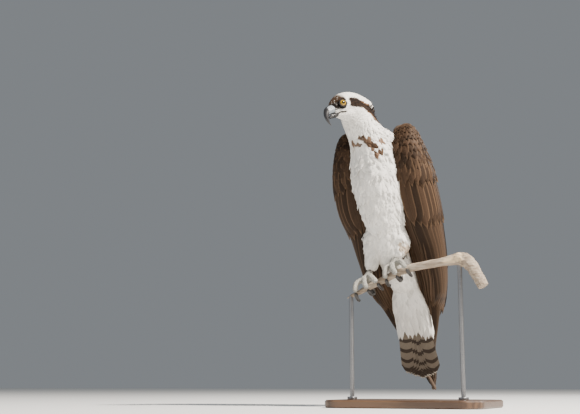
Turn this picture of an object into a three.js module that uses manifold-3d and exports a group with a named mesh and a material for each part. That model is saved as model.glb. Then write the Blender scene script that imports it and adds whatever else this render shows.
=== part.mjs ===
// A life-size osprey gripping a cut length of branch, held up by a plain display stand.
// Millimetres, +Z up. The bird faces -Y and its left side is +X. The origin is on the
// underside of the stand's base, straight below the middle of the bird's grip.
import * as THREE from "three";
import { mergeVertices } from "three/addons/utils/BufferGeometryUtils.js";
import Module from "manifold-3d";

const wasm = await Module();
wasm.setup();

// Driving dimensions
const gripHeight = 236; // the perch's axis between the feet, above the floor
const gap = 0.3; // between solids that meet
const baseSize = { width: 290, depth: 200, thick: 14, corner: 34, bevel: 2.5, x: 48, y: 22 };
const rod = { radius: 4, leftX: -63, rightX: 146 };
const eye = { radius: 8.4, lid: 1.4, open: 6.4, side: 13, front: 19.5, up: 1.2 };
const headPose = { x: -39, y: -80, z: 307, yaw: -26, pitch: 13, roll: -14 };
const tarsus = { thick: 5.4 };
const vane = { thick: 0.8, shaft: 0.5 };

const deg = Math.PI / 180;
const up = new THREE.Vector3(0, 0, 1);
const ahead = new THREE.Vector3(0, -1, 0);

// A point given from the middle of the grip.
const at = (x, y, z) => new THREE.Vector3(x, y, gripHeight + z);
const v = (x, y, z) => new THREE.Vector3(x, y, z);

// A closed geometry as a solid with its faces pointing out.
function solid(geometry) {
  const bare = geometry.clone();
  bare.deleteAttribute("normal");
  bare.deleteAttribute("uv");
  const merged = mergeVertices(bare, 1e-4);
  const triVerts = new Uint32Array(merged.index.array);
  const vertProperties = new Float32Array(merged.attributes.position.array);
  const made = new wasm.Manifold(new wasm.Mesh({ numProp: 3, vertProperties, triVerts }));
  if (made.volume() > 0) return made;
  for (let i = 0; i < triVerts.length; i += 3) {
    [triVerts[i + 1], triVerts[i + 2]] = [triVerts[i + 2], triVerts[i + 1]];
  }
  return new wasm.Manifold(new wasm.Mesh({ numProp: 3, vertProperties, triVerts }));
}

// The largest closed surface of a solid, without loose scraps or sealed hollows.
function largest(made) {
  const bodies = made.decompose().sort((a, b) => b.volume() - a.volume());
  return bodies[0];
}

const join = (pieces) => pieces.reduce((whole, piece) => whole.add(piece));

// The space that a piece and the gap around it take.
const roomOf = (make) => make(0).add(make(gap));

// The skin over stations along a path. A station has a centre, a half-width (side), and half-depths
// in front of the path and behind it. The skin is a function of the place along the path (0 to 1),
// the turn round it in degrees (90 in front, -90 behind) and the lift off it.
function skinOf(stations, { forward = ahead, square = 1 } = {}) {
  const path = new THREE.CatmullRomCurve3(stations.map((s) => s.at), false, "centripetal");
  const halves = stations.map((s) => [s.side, s.front ?? s.side, s.back ?? s.front ?? s.side]);
  const sizes = new THREE.CatmullRomCurve3(halves.map((h) => v(...h)), false, "catmullrom", 0.5);
  const bend = (value) => Math.sign(value) * Math.abs(value) ** square;
  const skin = (t, turn, lift = 0) => {
    const tangent = path.getTangent(t);
    const front = forward.clone().addScaledVector(tangent, -forward.dot(tangent)).normalize();
    const side = new THREE.Vector3().crossVectors(tangent, front);
    const size = sizes.getPoint(t);
    const [across, ahead] = [Math.cos(turn * deg), Math.sin(turn * deg)];
    return path
      .getPoint(t)
      .addScaledVector(side, (Math.max(0.2, size.x) + lift) * bend(across))
      .addScaledVector(front, (Math.max(0.2, ahead > 0 ? size.y : size.z) + lift) * bend(ahead));
  };
  return Object.assign(skin, { path });
}

// A closed surface on such a skin, ending on the first and last centres
function loft(stations, { around = 20, along = 16, grow = 0, forward = ahead, square = 1 } = {}) {
  const skin = skinOf(stations, { forward, square });
  const ball = new THREE.SphereGeometry(1, around, along);
  const position = ball.attributes.position;
  const point = new THREE.Vector3();
  for (let i = 0; i < position.count; i++) {
    point.fromBufferAttribute(position, i);
    const t = Math.acos(Math.min(1, Math.max(-1, point.y))) / Math.PI;
    let out = skin(t, Math.atan2(point.z, point.x) / deg, grow);
    if (Math.hypot(point.x, point.z) < 1e-6) {
      const beyond = (t < 0.5 ? -3 : 3) * Math.max(0, grow);
      out = skin.path.getPoint(t).addScaledVector(skin.path.getTangent(t), beyond);
    }
    position.setXYZ(i, out.x, out.y, out.z);
  }
  return ball;
}

// A round tube that tapers along points, each with its radius.
function tube(points, radii, { around = 8, along = 10, grow = 0, forward = ahead } = {}) {
  const stations = points.map((p, i) => ({ at: p, side: radii[i] }));
  return loft(stations, { around, along, grow, forward });
}

// A seeded random number between -1 and 1.
let seed = 20260;
function scatter() {
  seed = (seed * 16807) % 2147483647;
  return (seed / 2147483647) * 2 - 1;
}

// A vane laid along a skin from a root to a tip, both given as [along, turn, lift]: a thin slab with
// the same triangles on both faces, raised along its shaft, one edge over its neighbour.
function layVane(skin, root, tip, { width, rows = 3, blunt = 0.35, tilt = 1, grow = 0 }) {
  const sheet = new THREE.PlaneGeometry(1, 1, 2, rows);
  const flat = sheet.attributes.position;
  const count = flat.count;
  const upper = [];
  const lower = [];
  for (let i = 0; i < count; i++) {
    const s = flat.getX(i) * 2;
    const r = (0.5 - flat.getY(i)) * (1 + grow / 40) - (0.5 - flat.getY(i) < 0.01 ? grow / 40 : 0);
    const [along, turn, lift] = root.map((from, k) => from + (tip[k] - from) * (k === 2 ? r ** 0.7 || 0 : r));
    const centre = skin(along, turn, lift);
    const across = skin(along, turn + 4, lift).sub(skin(along, turn - 4, lift)).normalize();
    const lengthwise = skin(along + 0.01, turn, lift).sub(skin(along - 0.01, turn, lift)).normalize();
    const face = new THREE.Vector3().crossVectors(across, lengthwise).normalize();
    if (face.dot(skin(along, turn, lift + 1).sub(centre)) < 0) face.negate();
    const end = Math.max(0, (r - 1 + blunt) / blunt);
    const breadth = width * (0.5 + 0.5 * Math.min(1, r * 2.2)) * Math.sqrt(Math.max(0.06, 1 - end ** 2.4));
    centre.addScaledVector(across, s * (breadth / 2 + grow)).addScaledVector(face, s * tilt);
    const half = vane.thick / 2 + grow;
    upper.push(...centre.clone().addScaledVector(face, half + (s ? 0 : vane.shaft)).toArray());
    lower.push(...centre.addScaledVector(face, -half).toArray());
  }
  const index = [];
  const cells = Array.from(sheet.index.array);
  for (let i = 0; i < cells.length; i += 3) {
    const [a, b, c] = cells.slice(i, i + 3);
    index.push(a, b, c, a + count, c + count, b + count);
  }
  const rim = [0, 1, 2];
  for (let r = 1; r <= rows; r++) rim.push(r * 3 + 2);
  rim.push(rows * 3 + 1);
  for (let r = rows; r > 0; r--) rim.push(r * 3);
  rim.forEach((a, i) => {
    const b = rim[(i + 1) % rim.length];
    index.push(a, b, b + count, a, b + count, a + count);
  });
  const made = new THREE.BufferGeometry();
  made.setAttribute("position", new THREE.Float32BufferAttribute([...upper, ...lower], 3));
  made.setIndex(index);
  return solid(made);
}

// A tier of vanes side by side, from the first root and tip to the last.
function layTier(skin, [count, root, lastRoot, tip, lastTip, lifts, widths, rows], outward, grow) {
  const mix = (from, to, f) => from + (to - from) * f;
  const place = (first, last, f, lift) => {
    const turn = mix(first[1], last[1], f);
    return [mix(first[0], last[0], f), outward < 0 ? 180 - turn : turn, lift];
  };
  return Array.from({ length: count }, (_, i) => {
    const f = i / (count - 1);
    const end = place(tip, lastTip, f, lifts[1]);
    end[0] += scatter() * 0.006;
    const shape = { width: mix(...widths, f), rows, tilt: outward, grow };
    return layVane(skin, place(root, lastRoot, f, lifts[0]), end, shape);
  });
}

// Body: rump to neck in one skin, then cut into torso, neck and head
const bodyStations = [
  { at: at(20, 96, -34), side: 14, front: 7, back: 9 },
  { at: at(17, 82, -14), side: 26, front: 14, back: 18 },
  { at: at(13, 62, 12), side: 28, front: 34, back: 28 },
  { at: at(8, 42, 46), side: 30, front: 43, back: 38 },
  { at: at(6, 26, 86), side: 36, front: 46, back: 48 },
  { at: at(1, 10, 132), side: 46, front: 53, back: 54 },
  { at: at(-4, -4, 178), side: 50, front: 54, back: 54 },
  { at: at(-7, -15, 218), side: 48, front: 47, back: 48 },
  { at: at(-12, -28, 248), side: 39, front: 38, back: 40 },
  { at: at(-20, -44, 272), side: 32, front: 32, back: 36 },
  { at: at(-28, -60, 293), side: 30, front: 27, back: 38 },
  { at: at(-36, -72, 310), side: 22, front: 16, back: 31 },
];
// The white feathers that join the neck's foot to the left wing's shoulder
const shoulder = {
  points: [at(-8, -36, 258), at(14, -30, 256), at(32, -23, 251), at(42, -17, 240)],
  radii: [18, 17, 11, 4],
};
function bodySkin(grow = 0) {
  const ridge = tube(shoulder.points, shoulder.radii, { around: 12, along: 8, grow, forward: up });
  return solid(loft(bodyStations, { around: 20, along: 24, grow })).add(solid(ridge));
}

// Head, in its own frame: forward is -Y, and the origin is the middle of the skull
const headTurn = new THREE.Euler(headPose.pitch * deg, headPose.roll * deg, headPose.yaw * deg, "ZXY");
const headPlace = new THREE.Matrix4()
  .makeRotationFromEuler(headTurn)
  .setPosition(headPose.x, headPose.y, gripHeight + headPose.z);
const inHead = (geometry) => solid(geometry.clone().applyMatrix4(headPlace));
const skullStations = [
  { at: v(0, 60, -16), side: 5, front: 5, back: 5 },
  { at: v(0, 50, -9), side: 15, front: 16, back: 14 },
  { at: v(0, 34, -2), side: 21, front: 24, back: 20 },
  { at: v(0, 16, 2), side: 23.5, front: 27, back: 23 },
  { at: v(0, 0, 3), side: 23.5, front: 27, back: 22 },
  { at: v(0, -14, 1), side: 20.5, front: 23, back: 19 },
  { at: v(0, -25, -2), side: 16, front: 19, back: 14 },
  { at: v(0, -33, -4), side: 11.5, front: 15, back: 9 },
  { at: v(0, -39, -5), side: 8, front: 11.5, back: 7 },
  { at: v(0, -42, -6), side: 5, front: 7, back: 5 },
];
const skull = (grow = 0) => loft(skullStations, { around: 18, along: 14, grow, forward: up });

const jawStations = [
  { at: v(0, 12, -18), side: 14, front: 10, back: 8 },
  { at: v(0, -6, -15), side: 16, front: 12, back: 10 },
  { at: v(0, -22, -14), side: 9, front: 8, back: 6 },
  { at: v(0, -36, -15), side: 5, front: 3, back: 4 },
];
const jaw = () => loft(jawStations, { around: 10, along: 7, forward: up });

// The upper bill: cere, culmen and hook
const upperStations = [
  { at: v(0, -32, -4), side: 8, front: 9, back: 7.5 },
  { at: v(0, -40, -5), side: 8.2, front: 9.6, back: 7.4 },
  { at: v(0, -47, -7), side: 7, front: 8.4, back: 6.8 },
  { at: v(0, -52.5, -12), side: 5, front: 6, back: 5.8 },
  { at: v(0, -54.5, -19), side: 3.4, front: 4.2, back: 4.6 },
  { at: v(0, -54, -26), side: 2.1, front: 2.6, back: 2.8 },
  { at: v(0, -51, -34), side: 0.5, front: 0.6, back: 0.6 },
];
const lowerStations = [
  { at: v(0, -28, -14.4), side: 6, front: 2, back: 3.4 },
  { at: v(0, -36, -15), side: 6.2, front: 2.6, back: 3.8 },
  { at: v(0, -44, -16.4), side: 5, front: 2.6, back: 3.4 },
  { at: v(0, -50, -18.6), side: 2.6, front: 1.4, back: 2 },
];
const billTop = v(0, -1, 1).normalize(); // leans ahead, so that the hook's skin doesn't twist
const upperBill = (grow = 0) => loft(upperStations, { around: 12, along: 12, grow, forward: billTop });
const lowerBill = (grow = 0) => loft(lowerStations, { around: 10, along: 6, grow, forward: billTop });

function ball(radius, x, y, z, fine = 14) {
  return new THREE.SphereGeometry(radius, fine, Math.round(fine * 0.6)).translate(x, y, z);
}

// The lids: a cap over the eyeball, open where the eye looks out
const eyePlace = (side, shift = 0) => v(side * (eye.side + shift), -eye.front - shift * 0.34, eye.up);
const eyeBall = (side, grow = 0) => inHead(ball(eye.radius + grow, ...eyePlace(side).toArray()));
function lids(side) {
  const cap = inHead(ball(eye.radius + eye.lid, ...eyePlace(side).toArray(), 10));
  const opening = new THREE.CylinderGeometry(eye.open, eye.open, 20, 10);
  opening.rotateZ(-side * 90 * deg).rotateZ(side * 19 * deg).scale(1, 1, 0.9);
  return cap.subtract(inHead(opening.translate(...eyePlace(side, 13).toArray())));
}

function browRidge(side) {
  const points = [
    v(side * 15, -6, 9),
    v(side * 18, -13, 10),
    v(side * 17.5, -22, 8.4),
    v(side * 12, -31, 5),
  ];
  return tube(points, [2, 4, 3.8, 1.4], { around: 7, along: 5, forward: up });
}

// The line of the mouth, cut back from the bill's root to below the eye
function gapeCut(side) {
  const points = [
    v(side * 7, -43, -12.4),
    v(side * 11, -33, -12.4),
    v(side * 14, -24, -12.6),
    v(side * 18, -15, -13),
  ];
  return tube(points, [0.9, 0.9, 0.9, 0.6], { around: 5, along: 5, forward: up });
}

function nostril(side) {
  const points = [v(side * 9.4, -45, -3), v(side * 7.2, -43, -4), v(side * 5.6, -40.5, -5)];
  return tube(points, [0.8, 1.1, 0.7], { around: 6, along: 4, forward: up });
}

const bareSkull = join([skull(), jaw(), browRidge(1), browRidge(-1)].map(inHead));
const skullAndLids = bareSkull.add(lids(1)).add(lids(-1));
function carveFace(made) {
  let carved = made.subtract(inHead(upperBill(gap))).subtract(inHead(lowerBill(gap)));
  for (const side of [1, -1]) carved = carved.subtract(eyeBall(side, gap)).subtract(inHead(gapeCut(side)));
  return carved;
}

// Cuts between torso, neck and head
const neckCut = { at: at(-12, -26, 236), normal: new THREE.Vector3(-0.12, -0.42, 0.9).normalize() };
const throatCut = { at: at(-30, -61, 287), normal: new THREE.Vector3(-0.3, -0.56, 0.77).normalize() };
const above = (made, cut, shift = 0) => {
  const n = cut.normal;
  return made.trimByPlane([n.x, n.y, n.z], cut.at.dot(n) + shift);
};
const below = (made, cut, shift = 0) => {
  const n = cut.normal.clone().negate();
  return made.trimByPlane([n.x, n.y, n.z], cut.at.dot(n) + shift);
};
const wholeBody = bodySkin();
const headAndNeck = above(wholeBody, neckCut, gap / 2).add(skullAndLids);
const head = carveFace(above(headAndNeck, throatCut, gap / 2));

// Ragged locks of the nape crest
const crest = { locks: 6, from: -19, to: 19, reach: 15, thick: 3.4 };
function crestLocks(grow = 0) {
  seed = 3300;
  return join(Array.from({ length: crest.locks }, (_, i) => {
    const x = crest.from + ((crest.to - crest.from) * i) / (crest.locks - 1);
    const z = 1 - Math.abs(x) * 0.45 + scatter() * 3;
    const y = 53 - Math.abs(x) * 0.75;
    const tip = v(x * 1.25 + scatter() * 2, y + crest.reach + scatter() * 3, z - 12 + scatter() * 3);
    const points = [v(x * 0.8, y - 12, z), v(x, y, z), tip];
    return inHead(tube(points, [crest.thick, crest.thick, 0.5], { around: 5, along: 4, grow, forward: up }));
  }));
}
const headWithCrest = largest(head.add(crestLocks()));
const neck = below(headAndNeck, throatCut, gap / 2).subtract(roomOf(crestLocks));
const torso = below(wholeBody, neckCut, gap / 2);

// Wings: each an envelope around its flank, hollowed by the body it lies on
const wingCover = 3; // the feathers' thickness over the core
const wingStations = [
  { x: 38, y: -14, z: 282, side: 10, front: 10, back: 11 },
  { x: 44, y: -8, z: 268, side: 25, front: 22, back: 30 },
  { x: 48, y: -2, z: 238, side: 33, front: 33, back: 47 },
  { x: 51, y: 10, z: 196, side: 40, front: 39, back: 61 },
  { x: 52, y: 26, z: 148, side: 42, front: 43, back: 67 },
  { x: 53, y: 48, z: 100, side: 39, front: 45, back: 63 },
  { x: 51, y: 72, z: 52, side: 33, front: 43, back: 53 },
  { x: 46, y: 98, z: 6, side: 26, front: 36, back: 41 },
  { x: 37, y: 120, z: -38, side: 19, front: 28, back: 31 },
  { x: 26, y: 138, z: -84, side: 12, front: 20, back: 21 },
  { x: 14, y: 152, z: -130, side: 8, front: 14, back: 15 },
  { x: 3, y: 163, z: -180, side: 6, front: 9, back: 10 },
  { x: -4, y: 168, z: -206, side: 4, front: 5, back: 6 },
];
const wingShift = {
  1: { up: -3, out: 7, waist: 0 },
  [-1]: { up: -9, out: 1, waist: 15 },
};
const crossing = { 1: 4, [-1]: -4 }; // the tips pass one behind the other
const leans = [[300, -9.5], [110, -1], [-40, 17], [-120, 24], [-206, 42]]; // height, sideways
function wingCentre(z) {
  const i = Math.max(1, leans.findIndex(([height]) => height <= z));
  const [[z0, x0], [z1, x1]] = [leans[i - 1], leans[i]];
  return x0 + ((x1 - x0) * (z0 - z)) / (z0 - z1);
}
function wingAxis(side) {
  const { up: rise, out, waist } = wingShift[side];
  return wingStations.map((s) => {
    const low = Math.max(0, Math.min(1, -s.z / 120));
    const tuck = waist * Math.exp(-(((s.z - 85) / 55) ** 2));
    const x = wingCentre(s.z) + side * (s.x + out * (1 - low) - tuck);
    return { ...s, at: at(x, s.y + low * crossing[side], s.z + rise * (1 - low)) };
  });
}

// Tiers of a wing: primaries, secondaries, tertials, greater and median coverts, and scapulars.
// Each is count, [along, turn] of the first and last roots, the same of their tips, the lifts of
// roots and tips, the first and last widths, and the rows of faces. Turns go from the outer side
// (0) to the front (90) or the back (-90).
const wingTiers = [
  [5, [0.62, 84], [0.8, 20], [0.84, 40], [0.985, -20], [-6, -1], [27, 22], 2],
  [5, [0.42, 62], [0.5, -78], [0.72, 56], [0.78, -84], [-6, 0], [42, 36], 2],
  [3, [0.36, -60], [0.4, -110], [0.64, -66], [0.6, -112], [-5, 1.5], [32, 34], 2],
  [5, [0.27, 72], [0.33, -72], [0.52, 66], [0.55, -78], [-6, 1], [42, 42], 2],
  [4, [0.16, 78], [0.2, -70], [0.35, 72], [0.37, -74], [-6, 1.5], [42, 44], 2],
  [3, [0.12, -84], [0.2, -146], [0.34, -88], [0.44, -142], [-6, 2], [46, 46], 2],
];
function wing(side, grow = 0) {
  const axis = wingAxis(side);
  const skin = skinOf(axis, { square: 0.86 });
  const core = loft(axis, { around: 12, along: 12, grow: grow - wingCover, square: 0.86 });
  seed = 4100 + side;
  const vanes = wingTiers.flatMap((tier) => layTier(skin, tier, -side, grow));
  return join([solid(core), ...vanes]);
}

// Tail: a folded fan of twelve feathers under coverts
const tailStations = [
  { at: at(17, 84, -8), side: 24, front: 14, back: 14 },
  { at: at(19, 92, -40), side: 33, front: 13, back: 11 },
  { at: at(22, 106, -78), side: 34, front: 9, back: 7 },
  { at: at(24, 119, -118), side: 34, front: 5, back: 4 },
  { at: at(27, 132, -160), side: 32, front: 3, back: 3 },
  { at: at(28, 138, -184), side: 18, front: 1.5, back: 1.5 },
];

// The twelve tail feathers: the middle pair lies behind, the outer ones one by one before it
const tailFan = { each: 6, width: 25, step: 1.3, spread: 5.6, shorten: 0.02 };
function tail(grow = 0) {
  const core = loft(tailStations, { around: 12, along: 9, grow: grow - 1.5 });
  const path = new THREE.CatmullRomCurve3(tailStations.map((s) => s.at));
  const lane = (shift, deep) => (t, turn, lift) =>
    path.getPoint(Math.min(1, t)).add(v(shift * (0.3 + 0.7 * t) + (turn - 90) * 0.3, deep - lift, 0));
  const pieces = [solid(core)];
  seed = 880;
  for (let i = 0; i < tailFan.each; i++) {
    for (const side of [1, -1]) {
      const strip = lane(side * (2.5 + i * tailFan.spread), 5 - i * tailFan.step - side * 0.35);
      const tip = [1 - i * tailFan.shorten + scatter() * 0.008, 90, 0];
      const shape = { width: tailFan.width, rows: 2, blunt: 0.16, tilt: 0, grow };
      pieces.push(layVane(strip, [0.3, 90, 0], tip, shape));
    }
  }
  return join(pieces);
}

// Legs and feet on the perch
const perchStations = [
  { at: at(-74, -1, -38), side: 3.4 },
  { at: at(-50, 0, -28), side: 4.6 },
  { at: at(-24, 0, -16), side: 6.2 },
  { at: at(0, 0, -6), side: 7.2 },
  { at: at(26, 0, 5), side: 7.6 },
  { at: at(60, -1, 15), side: 7.6 },
  { at: at(100, -2, 20), side: 8 },
  { at: at(132, -3, 24), side: 9.5 },
  { at: at(152, -4, 25), side: 13.5 },
  { at: at(167, -5, 13), side: 12 },
  { at: at(178, -7, -6), side: 11 },
  { at: at(188, -8, -24), side: 10.5 },
  { at: at(194, -9, -34), side: 10 },
];
const perchSkin = (grow = 0) => loft(perchStations, { around: 10, along: 22, grow, forward: up });
const perchCut = { at: at(189, -8, -26), normal: new THREE.Vector3(-0.48, 0.05, 0.87).normalize() };
const perch = above(solid(perchSkin()), perchCut);
const perchPath = new THREE.CatmullRomCurve3(perchStations.map((s) => s.at), false, "centripetal");

// The perch's axis and direction at a given x.
function perchAt(x) {
  let low = 0;
  let high = 1;
  for (let i = 0; i < 30; i++) {
    const middle = (low + high) / 2;
    if (perchPath.getPoint(middle).x < x) low = middle;
    else high = middle;
  }
  return { point: perchPath.getPoint(low), tangent: perchPath.getTangent(low) };
}

// A point around the perch: angle 0 is ahead of it, 90 above and 180 behind.
function roundPerch(x, angle, radius) {
  const { point, tangent } = perchAt(x);
  const front = ahead.clone().addScaledVector(tangent, -ahead.dot(tangent)).normalize();
  const top = new THREE.Vector3().crossVectors(front, tangent).normalize();
  if (top.z < 0) top.negate();
  return point
    .addScaledVector(front, radius * Math.cos(angle * deg))
    .addScaledVector(top, radius * Math.sin(angle * deg));
}

// Toes as steps round the perch: offset along it, angle and clearance of the toe's axis
const toes = {
  inner: {
    way: -1,
    steps: [[2, 88, 15.5], [9, 60, 18], [14, 25, 17], [17, -14, 14.6]],
    claw: [[18.5, -42, 15.4], [19, -80, 16], [17, -112, 12.6]],
  },
  middle: {
    way: 1,
    steps: [[0, 88, 15.5], [1, 58, 19.5], [2, 20, 18.4], [2.5, -22, 14.8]],
    claw: [[3, -52, 15.6], [3, -88, 16.4], [3, -122, 12.6]],
  },
  outer: {
    way: 1,
    steps: [[3, 92, 15.5], [13, 70, 18], [20, 38, 17], [24, -2, 14.6]],
    claw: [[26, -32, 15.4], [27, -70, 16], [26, -104, 12.6]],
  },
  back: {
    way: 1,
    steps: [[0, 96, 15.5], [0, 128, 17], [1, 160, 15.6], [2, 188, 14.4]],
    claw: [[2, 214, 15.2], [2, 246, 15.6], [2, 276, 12.4]],
  },
};
const toeRadii = [5.4, 5, 4.8, 4.6];
const clawRadii = [3.4, 2.6, 0.5];
const footX = { left: 26, right: -25 };
const sideOf = { left: 1, right: -1 };
const legs = {};
for (const name of ["left", "right"]) {
  const side = sideOf[name];
  const x = footX[name];
  const ankle = roundPerch(x, 90, 17);
  const knee = at(3 + side * 24, 16, 60);
  const hock = at(x, 8, ankle.z - gripHeight + 20);
  const pieces = {};
  pieces.thigh = (grow = 0) => solid(loft([
    { at: at(4 + side * 16, 34, 106), side: 8, front: 8 },
    { at: at(3 + side * 22, 18, 84), side: 20, front: 26, back: 22 },
    { at: knee, side: 21, front: 26, back: 22 },
    { at: new THREE.Vector3().lerpVectors(knee, hock, 0.6), side: 16, front: 18, back: 16 },
    { at: hock, side: 12, front: 12, back: 12 },
    { at: hock.clone().add(v(0, -1, -9)), side: 7, front: 7, back: 7 },
  ], { around: 14, along: 11, grow }));
  const shin = new THREE.Vector3().lerpVectors(hock, ankle, 0.5);
  const bones = [hock.clone().add(v(0, 0, 12)), hock, shin, ankle, ankle.clone().add(v(0, 0, -3))];
  const thick = [5, 6, tarsus.thick, 6.6, 4];
  pieces.tarsus = (grow = 0) => solid(tube(bones, thick, { around: 8, along: 7, grow }));
  pieces.toes = {};
  pieces.claws = {};
  for (const [toe, { way, steps, claw }] of Object.entries(toes)) {
    const points = steps.map(([along, angle, radius]) => roundPerch(x + way * side * along, angle, radius));
    const hook = claw.map(([along, angle, radius]) => roundPerch(x + way * side * along, angle, radius));
    pieces.toes[toe] = (grow = 0) => solid(tube(points, toeRadii, { around: 7, along: 9, grow }));
    const nail = [points.at(-1), ...hook];
    pieces.claws[toe] = (grow = 0) => solid(tube(nail, [3.6, ...clawRadii], { around: 6, along: 7, grow }));
  }
  legs[name] = pieces;
}

// Stand: a flat base and two rods up to the perch
function roundedPlate({ width, depth, thick, corner, bevel, x, y }) {
  const w = width / 2 - bevel;
  const d = depth / 2 - bevel;
  const outline = new THREE.Shape();
  outline.moveTo(-w + corner, -d);
  outline.lineTo(w - corner, -d).absarc(w - corner, -d + corner, corner, -90 * deg, 0);
  outline.lineTo(w, d - corner).absarc(w - corner, d - corner, corner, 0, 90 * deg);
  outline.lineTo(-w + corner, d).absarc(-w + corner, d - corner, corner, 90 * deg, 180 * deg);
  outline.lineTo(-w, -d + corner).absarc(-w + corner, -d + corner, corner, 180 * deg, 270 * deg);
  const plate = new THREE.ExtrudeGeometry(outline, {
    depth: thick - 2 * bevel, bevelThickness: bevel, bevelSize: bevel, bevelSegments: 1, curveSegments: 4,
  });
  return plate.translate(x, y, bevel);
}
const base = solid(roundedPlate(baseSize));
const perchRoom = solid(perchSkin(gap));
function standRod(x) {
  const top = perchAt(x).point;
  const foot = baseSize.thick + gap;
  const column = new THREE.CylinderGeometry(rod.radius, rod.radius, top.z - foot, 14);
  column.rotateX(90 * deg).translate(x, top.y, (top.z + foot) / 2);
  return largest(solid(column).subtract(perchRoom));
}

// Colours of the plumage, bare parts and stand
const colours = {
  white: { color: 0xe9e6df, roughness: 0.85 },
  brown: { color: 0x4a3423, roughness: 0.75 },
  barred: { color: 0x6b5a48, roughness: 0.8 },
  eye: { color: 0xd9a714, roughness: 0.15 },
  bill: { color: 0x1d1c1d, roughness: 0.4 },
  foot: { color: 0xbfc4bd, roughness: 0.6 },
  claw: { color: 0x151414, roughness: 0.35 },
  bark: { color: 0x9b8a76, roughness: 0.9 },
  stand: { color: 0x3b2a1e, roughness: 0.5 },
  rod: { color: 0x4a4a4c, roughness: 0.4, metalness: 0.9 },
};
const group = new THREE.Group();
function add(name, made, finish) {
  const { vertProperties, triVerts, numVert, numProp } = largest(made).getMesh();
  const places = new Float32Array(numVert * 3);
  for (let i = 0; i < numVert; i++) places.set(vertProperties.subarray(i * numProp, i * numProp + 3), i * 3);
  const geometry = new THREE.BufferGeometry();
  geometry.setAttribute("position", new THREE.BufferAttribute(places, 3));
  geometry.setIndex(new THREE.BufferAttribute(triVerts, 1));
  geometry.computeVertexNormals();
  const mesh = new THREE.Mesh(geometry, new THREE.MeshStandardMaterial(colours[finish]));
  mesh.name = name;
  group.add(mesh);
}

// Each later piece is cut clear of the earlier ones by the gap
const bodyRoom = bodySkin(gap);
const headRoom = inHead(skull(gap)).add(roomOf(crestLocks));
const wingPlain = { left: wing(1), right: wing(-1) };
const wingRoom = { left: wing(1, gap).add(wingPlain.left), right: wing(-1, gap).add(wingPlain.right) };
const wings = {
  left: wingPlain.left.subtract(bodyRoom).subtract(headRoom),
  right: wingPlain.right.subtract(bodyRoom).subtract(headRoom).subtract(wingRoom.left),
};
add("head", headWithCrest, "white");
add("neck", neck, "white");
add("torso", torso, "white");
add("bill_upper", inHead(upperBill()).subtract(inHead(nostril(1))).subtract(inHead(nostril(-1))), "bill");
add("bill_lower", inHead(lowerBill()).subtract(inHead(upperBill(gap))), "bill");
add("eye_left", eyeBall(1), "eye");
add("eye_right", eyeBall(-1), "eye");
add("wing_left", wings.left, "brown");
add("wing_right", wings.right, "brown");
add("tail", tail().subtract(bodyRoom).subtract(wingRoom.left).subtract(wingRoom.right), "barred");
add("perch", perch, "bark");
for (const name of ["left", "right"]) {
  const leg = legs[name];
  add(`thigh_${name}`, leg.thigh().subtract(bodyRoom).subtract(wingRoom[name]), "white");
  const legRoom = join([roomOf(leg.thigh), bodyRoom, perchRoom]);
  add(`tarsus_${name}`, leg.tarsus().subtract(legRoom), "foot");
  let taken = join([roomOf(leg.tarsus), perchRoom, bodyRoom]);
  for (const toe of Object.keys(toes)) {
    add(`toe_${name}_${toe}`, leg.toes[toe]().subtract(taken), "foot");
    taken = taken.add(roomOf(leg.toes[toe]));
  }
  for (const toe of Object.keys(toes)) {
    add(`claw_${name}_${toe}`, leg.claws[toe]().subtract(taken), "claw");
    taken = taken.add(roomOf(leg.claws[toe]));
  }
}
add("stand_base", base, "stand");
add("stand_rod_left", standRod(rod.leftX), "rod");
add("stand_rod_right", standRod(rod.rightX), "rod");

export default group;
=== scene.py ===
import math
import bpy
import numpy as np
from mathutils import Matrix, Vector, noise
from mathutils.bvhtree import BVHTree


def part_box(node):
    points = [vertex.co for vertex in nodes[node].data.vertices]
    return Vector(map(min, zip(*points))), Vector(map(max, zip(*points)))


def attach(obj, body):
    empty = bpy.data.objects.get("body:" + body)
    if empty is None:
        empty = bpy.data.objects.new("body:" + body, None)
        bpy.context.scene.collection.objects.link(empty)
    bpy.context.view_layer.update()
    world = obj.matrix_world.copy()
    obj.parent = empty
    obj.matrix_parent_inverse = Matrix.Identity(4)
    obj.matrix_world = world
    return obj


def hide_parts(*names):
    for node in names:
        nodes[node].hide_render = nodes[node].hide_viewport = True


# A perched osprey, life size, on a cut branch over a plain stand.
# Metres, +Z up; the bird faces -Y. Small shapes are worked out in millimetres first.
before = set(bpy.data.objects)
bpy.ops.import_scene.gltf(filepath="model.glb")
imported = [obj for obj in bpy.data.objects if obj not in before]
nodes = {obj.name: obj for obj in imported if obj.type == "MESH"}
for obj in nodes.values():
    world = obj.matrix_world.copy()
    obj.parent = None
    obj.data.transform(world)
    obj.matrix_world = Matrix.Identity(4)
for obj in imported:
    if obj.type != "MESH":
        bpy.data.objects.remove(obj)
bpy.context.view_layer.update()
mm = 0.001
gripHeight = 236.0  # millimetres from the floor up to the feet's hold on the branch
rng = np.random.default_rng(514)
print("frame loaded")

# camera and lights


def turnedMatrix(columns, place):
    turned = Matrix.Identity(4)
    for c, column in enumerate(columns):
        for r in range(3):
            turned[r][c] = column[r]
    turned.translation = place
    return turned


# the camera's three directions, its place and its lens
view = {"right": (0.9063, 0.4226, 0.0), "up": (0.0734, -0.1573, 0.9848), "back": (0.4162, -0.8925, -0.1736),
        "place": (0.62433, -1.74379, 0.04159), "lens": 62.4, "sensor": 36.0, "nearest": 0.01}
cameraData = bpy.data.cameras.new("camera")
cameraData.lens = view["lens"]
cameraData.sensor_width = view["sensor"]
cameraData.clip_start = view["nearest"]
camera = bpy.data.objects.new("camera", cameraData)
bpy.context.scene.collection.objects.link(camera)
camera.matrix_world = turnedMatrix([view["right"], view["up"], view["back"]], Vector(view["place"]))
bpy.context.scene.camera = camera


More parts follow.
